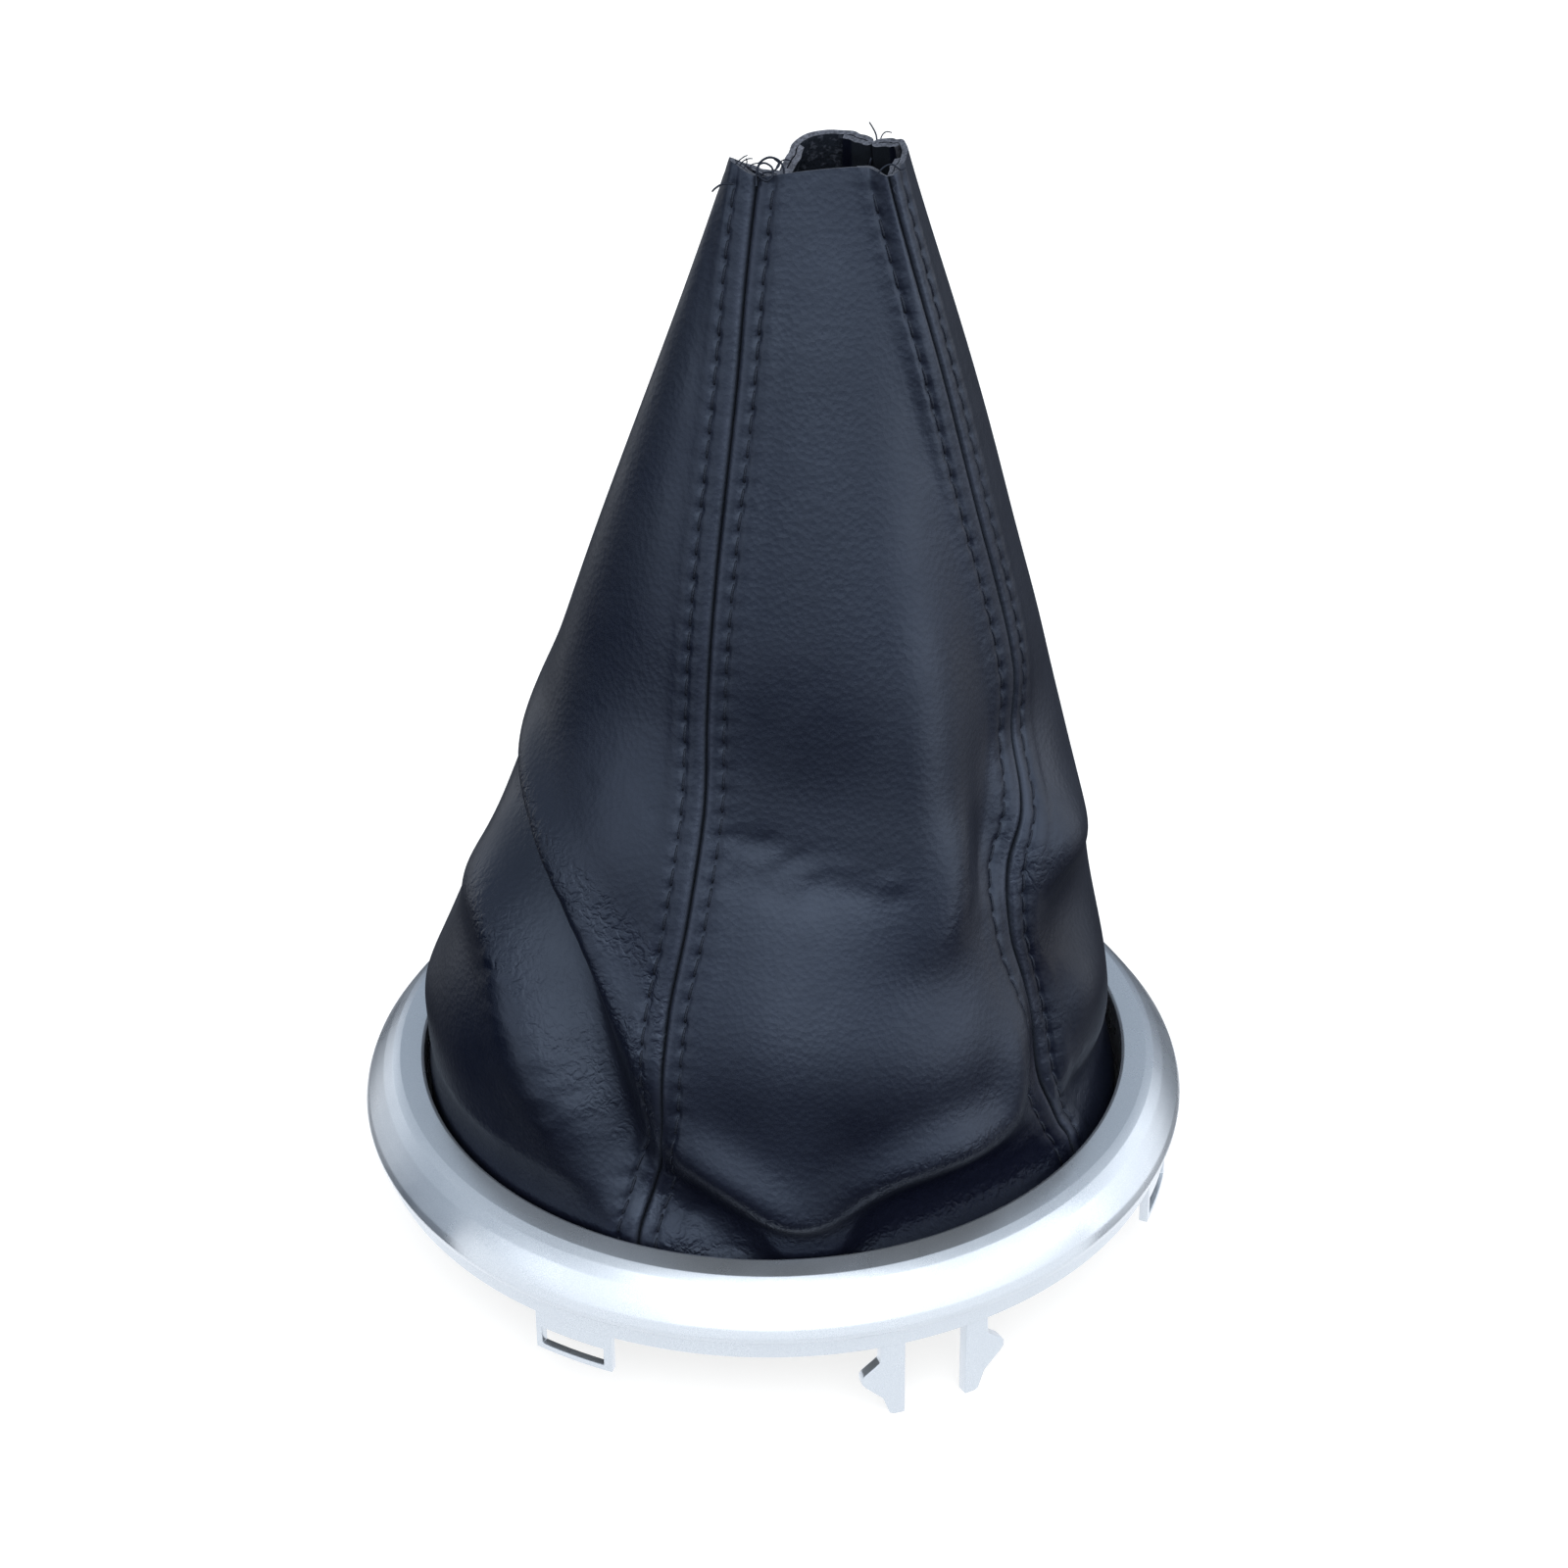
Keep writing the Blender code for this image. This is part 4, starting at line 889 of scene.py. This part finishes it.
ends = make_ends()
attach(ends, "root")

ring = make_ring()
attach(ring, "root")
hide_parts("trim_ring")

hoop = make_hoop()
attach(hoop, "root")
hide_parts("retaining_hoop")


# floor, light and camera
def floor_material():
    m = Nodes("pale_floor")
    m.finish(Base_Color=(0.42, 0.42, 0.415), Roughness=0.9, Emission_Color=(1.0, 0.997, 0.99), Emission_Strength=0.72)
    return m.material


half = 6.0
floor = new_object("floor", mesh_of("floor", [(-half, -half, -0.0004), (half, -half, -0.0004), (half, half, -0.0004), (-half, half, -0.0004)], [(0, 1, 2, 3)]), [floor_material()])
floor.visible_diffuse = False
floor.visible_glossy = False


def glow_material():
    """The pale ground close to the ring, as its silver sees it."""
    m = Nodes("ground_glow")
    return m.finish(Base_Color=(0.0, 0.0, 0.0, 1.0), Emission_Color=(0.95, 0.97, 1.0, 1.0), Emission_Strength=1.4)


def bowl():
    """A disc round the ring with a low wall along its front, seen by reflections only."""
    points = [(0.0, 0.0, -0.0006)]
    faces = []
    ahead = math.atan2(front.y, front.x)
    for n in range(73):
        t = math.radians(5 * n)
        points.append((0.088 * math.cos(ahead + t), 0.088 * math.sin(ahead + t), -0.0006))
        if n:
            faces.append((0, n, n + 1))
    base = len(points)
    for n in range(25):
        t = math.radians(-60 + 5 * n)
        for z in (0.0, 0.030):
            points.append((0.088 * math.cos(ahead + t), 0.088 * math.sin(ahead + t), z))
        if n:
            k = base + 2 * n
            faces.append((k - 2, k, k + 1, k - 1))
    return mesh_of("ground_glow", points, faces)


glow = new_object("ground_glow", bowl(), [glow_material()])
glow.visible_shadow = False
lit_by_glow = bpy.data.collections.new("lit_by_glow")
lit_by_glow.objects.link(ring)
glow.light_linking.receiver_collection = lit_by_glow
glow.visible_camera = False
glow.visible_diffuse = False

SKY = (  # height of the direction looked at, then the light from there
    (-1.0, (0.04, 0.045, 0.05)), (-0.50, (0.05, 0.055, 0.07)), (-0.25, (0.11, 0.125, 0.15)), (-0.10, (0.22, 0.25, 0.295)),
    (0.0, (0.37, 0.41, 0.48)), (0.20, (0.58, 0.65, 0.74)), (0.50, (0.62, 0.69, 0.78)), (1.0, (0.58, 0.635, 0.70)),
)
BOXES = (  # softer lights in the sky: turn to the right of the view, height in degrees, start and full size as cosines, light
    (0.0, 47.0, 0.74, 0.97, 2.4), (66.0, 14.0, 0.82, 0.98, 2.3), (-56.0, 15.0, 0.88, 0.98, 1.2),
    (113.0, 8.0, 0.91, 0.99, 1.2), (108.0, -19.0, 0.93, 0.99, 0.35), (-131.0, 0.0, 0.91, 0.99, 0.75),
    (-99.0, -2.0, 0.82, 0.97, -0.18), (180.0, 36.0, 0.50, 0.92, -0.18),
)


def make_world():
    world = bpy.data.worlds.new("sky")
    bpy.context.scene.world = world
    world.use_nodes = True
    tree = world.node_tree
    coords = tree.nodes.new("ShaderNodeTexCoord")
    split = tree.nodes.new("ShaderNodeSeparateXYZ")
    place = tree.nodes.new("ShaderNodeMapRange")
    ramp = tree.nodes.new("ShaderNodeValToRGB")
    place.inputs["From Min"].default_value, place.inputs["From Max"].default_value = -1.0, 1.0
    brightest = max(max(colour) for _, colour in SKY)
    ramp.color_ramp.interpolation = "EASE"
    stops = ramp.color_ramp.elements
    while len(stops) < len(SKY):
        stops.new(0.5)
    for stop, (height, colour) in zip(stops, SKY):
        stop.position = (height + 1) / 2
        stop.color = (*(x / brightest for x in colour), 1.0)
    tree.links.new(coords.outputs["Generated"], split.inputs[0])
    tree.links.new(split.outputs["Z"], place.inputs["Value"])
    tree.links.new(place.outputs["Result"], ramp.inputs["Fac"])
    background = tree.nodes["Background"]
    sky = ramp.outputs["Color"]
    for turn, height, start, full, light in BOXES:
        turn, height = math.radians(turn), math.radians(height)
        towards = tree.nodes.new("ShaderNodeVectorMath")
        towards.operation = "DOT_PRODUCT"
        level = front * math.cos(turn) + right * math.sin(turn)
        towards.inputs[1].default_value = level * math.cos(height) + Vector((0, 0, math.sin(height)))
        box = tree.nodes.new("ShaderNodeMapRange")
        box.interpolation_type = "SMOOTHSTEP"
        for socket, value in (("From Min", start), ("From Max", full), ("To Min", 0.0), ("To Max", light / brightest)):
            box.inputs[socket].default_value = value
        both = tree.nodes.new("ShaderNodeMix")
        both.data_type, both.blend_type = "RGBA", "ADD"
        both.inputs[0].default_value = 1.0
        tree.links.new(coords.outputs["Generated"], towards.inputs[0])
        tree.links.new(towards.outputs["Value"], box.inputs["Value"])
        tree.links.new(sky, both.inputs[6])
        tree.links.new(box.outputs["Result"], both.inputs[7])
        sky = both.outputs[2]
    tree.links.new(sky, background.inputs["Color"])
    background.inputs["Strength"].default_value = brightest


make_world()


def soft_light(name, place, target, size, power, colour):
    data = bpy.data.lights.new(name, "AREA")
    data.shape, data.size, data.size_y = "RECTANGLE", size[0], size[1]
    data.energy, data.color = power, colour
    obj = bpy.data.objects.new(name, data)
    bpy.context.scene.collection.objects.link(obj)
    obj.location = place
    obj.rotation_euler = (Vector(target) - Vector(place)).to_track_quat("-Z", "Y").to_euler()
    return obj


soft_light("overhead", front * 0.35 + right * 0.10 + Vector((0, 0, 1.25)), (0, 0, 0.08), (1.3, 1.3), 0.32, (0.93, 0.97, 1.0))
soft_light("front_fill", front * 1.2 + right * 0.35 + Vector((0, 0, 0.75)), (0, 0, 0.05), (1.0, 0.7), 1.5, (0.95, 0.98, 1.0))

camera = bpy.data.objects.new("camera", bpy.data.cameras.new("camera"))
bpy.context.scene.collection.objects.link(camera)
camera.data.lens, camera.data.sensor_width = 90.16, 36.0
camera.data.clip_start, camera.data.clip_end = 0.01, 30.0
camera.matrix_world = Matrix((
    (right.x, up.x, TO_CAMERA.x, AIM.x + 0.6 * TO_CAMERA.x),
    (right.y, up.y, TO_CAMERA.y, AIM.y + 0.6 * TO_CAMERA.y),
    (right.z, up.z, TO_CAMERA.z, AIM.z + 0.6 * TO_CAMERA.z),
    (0, 0, 0, 1),
))
bpy.context.scene.camera = camera
bpy.context.scene.view_settings.view_transform = "Standard"
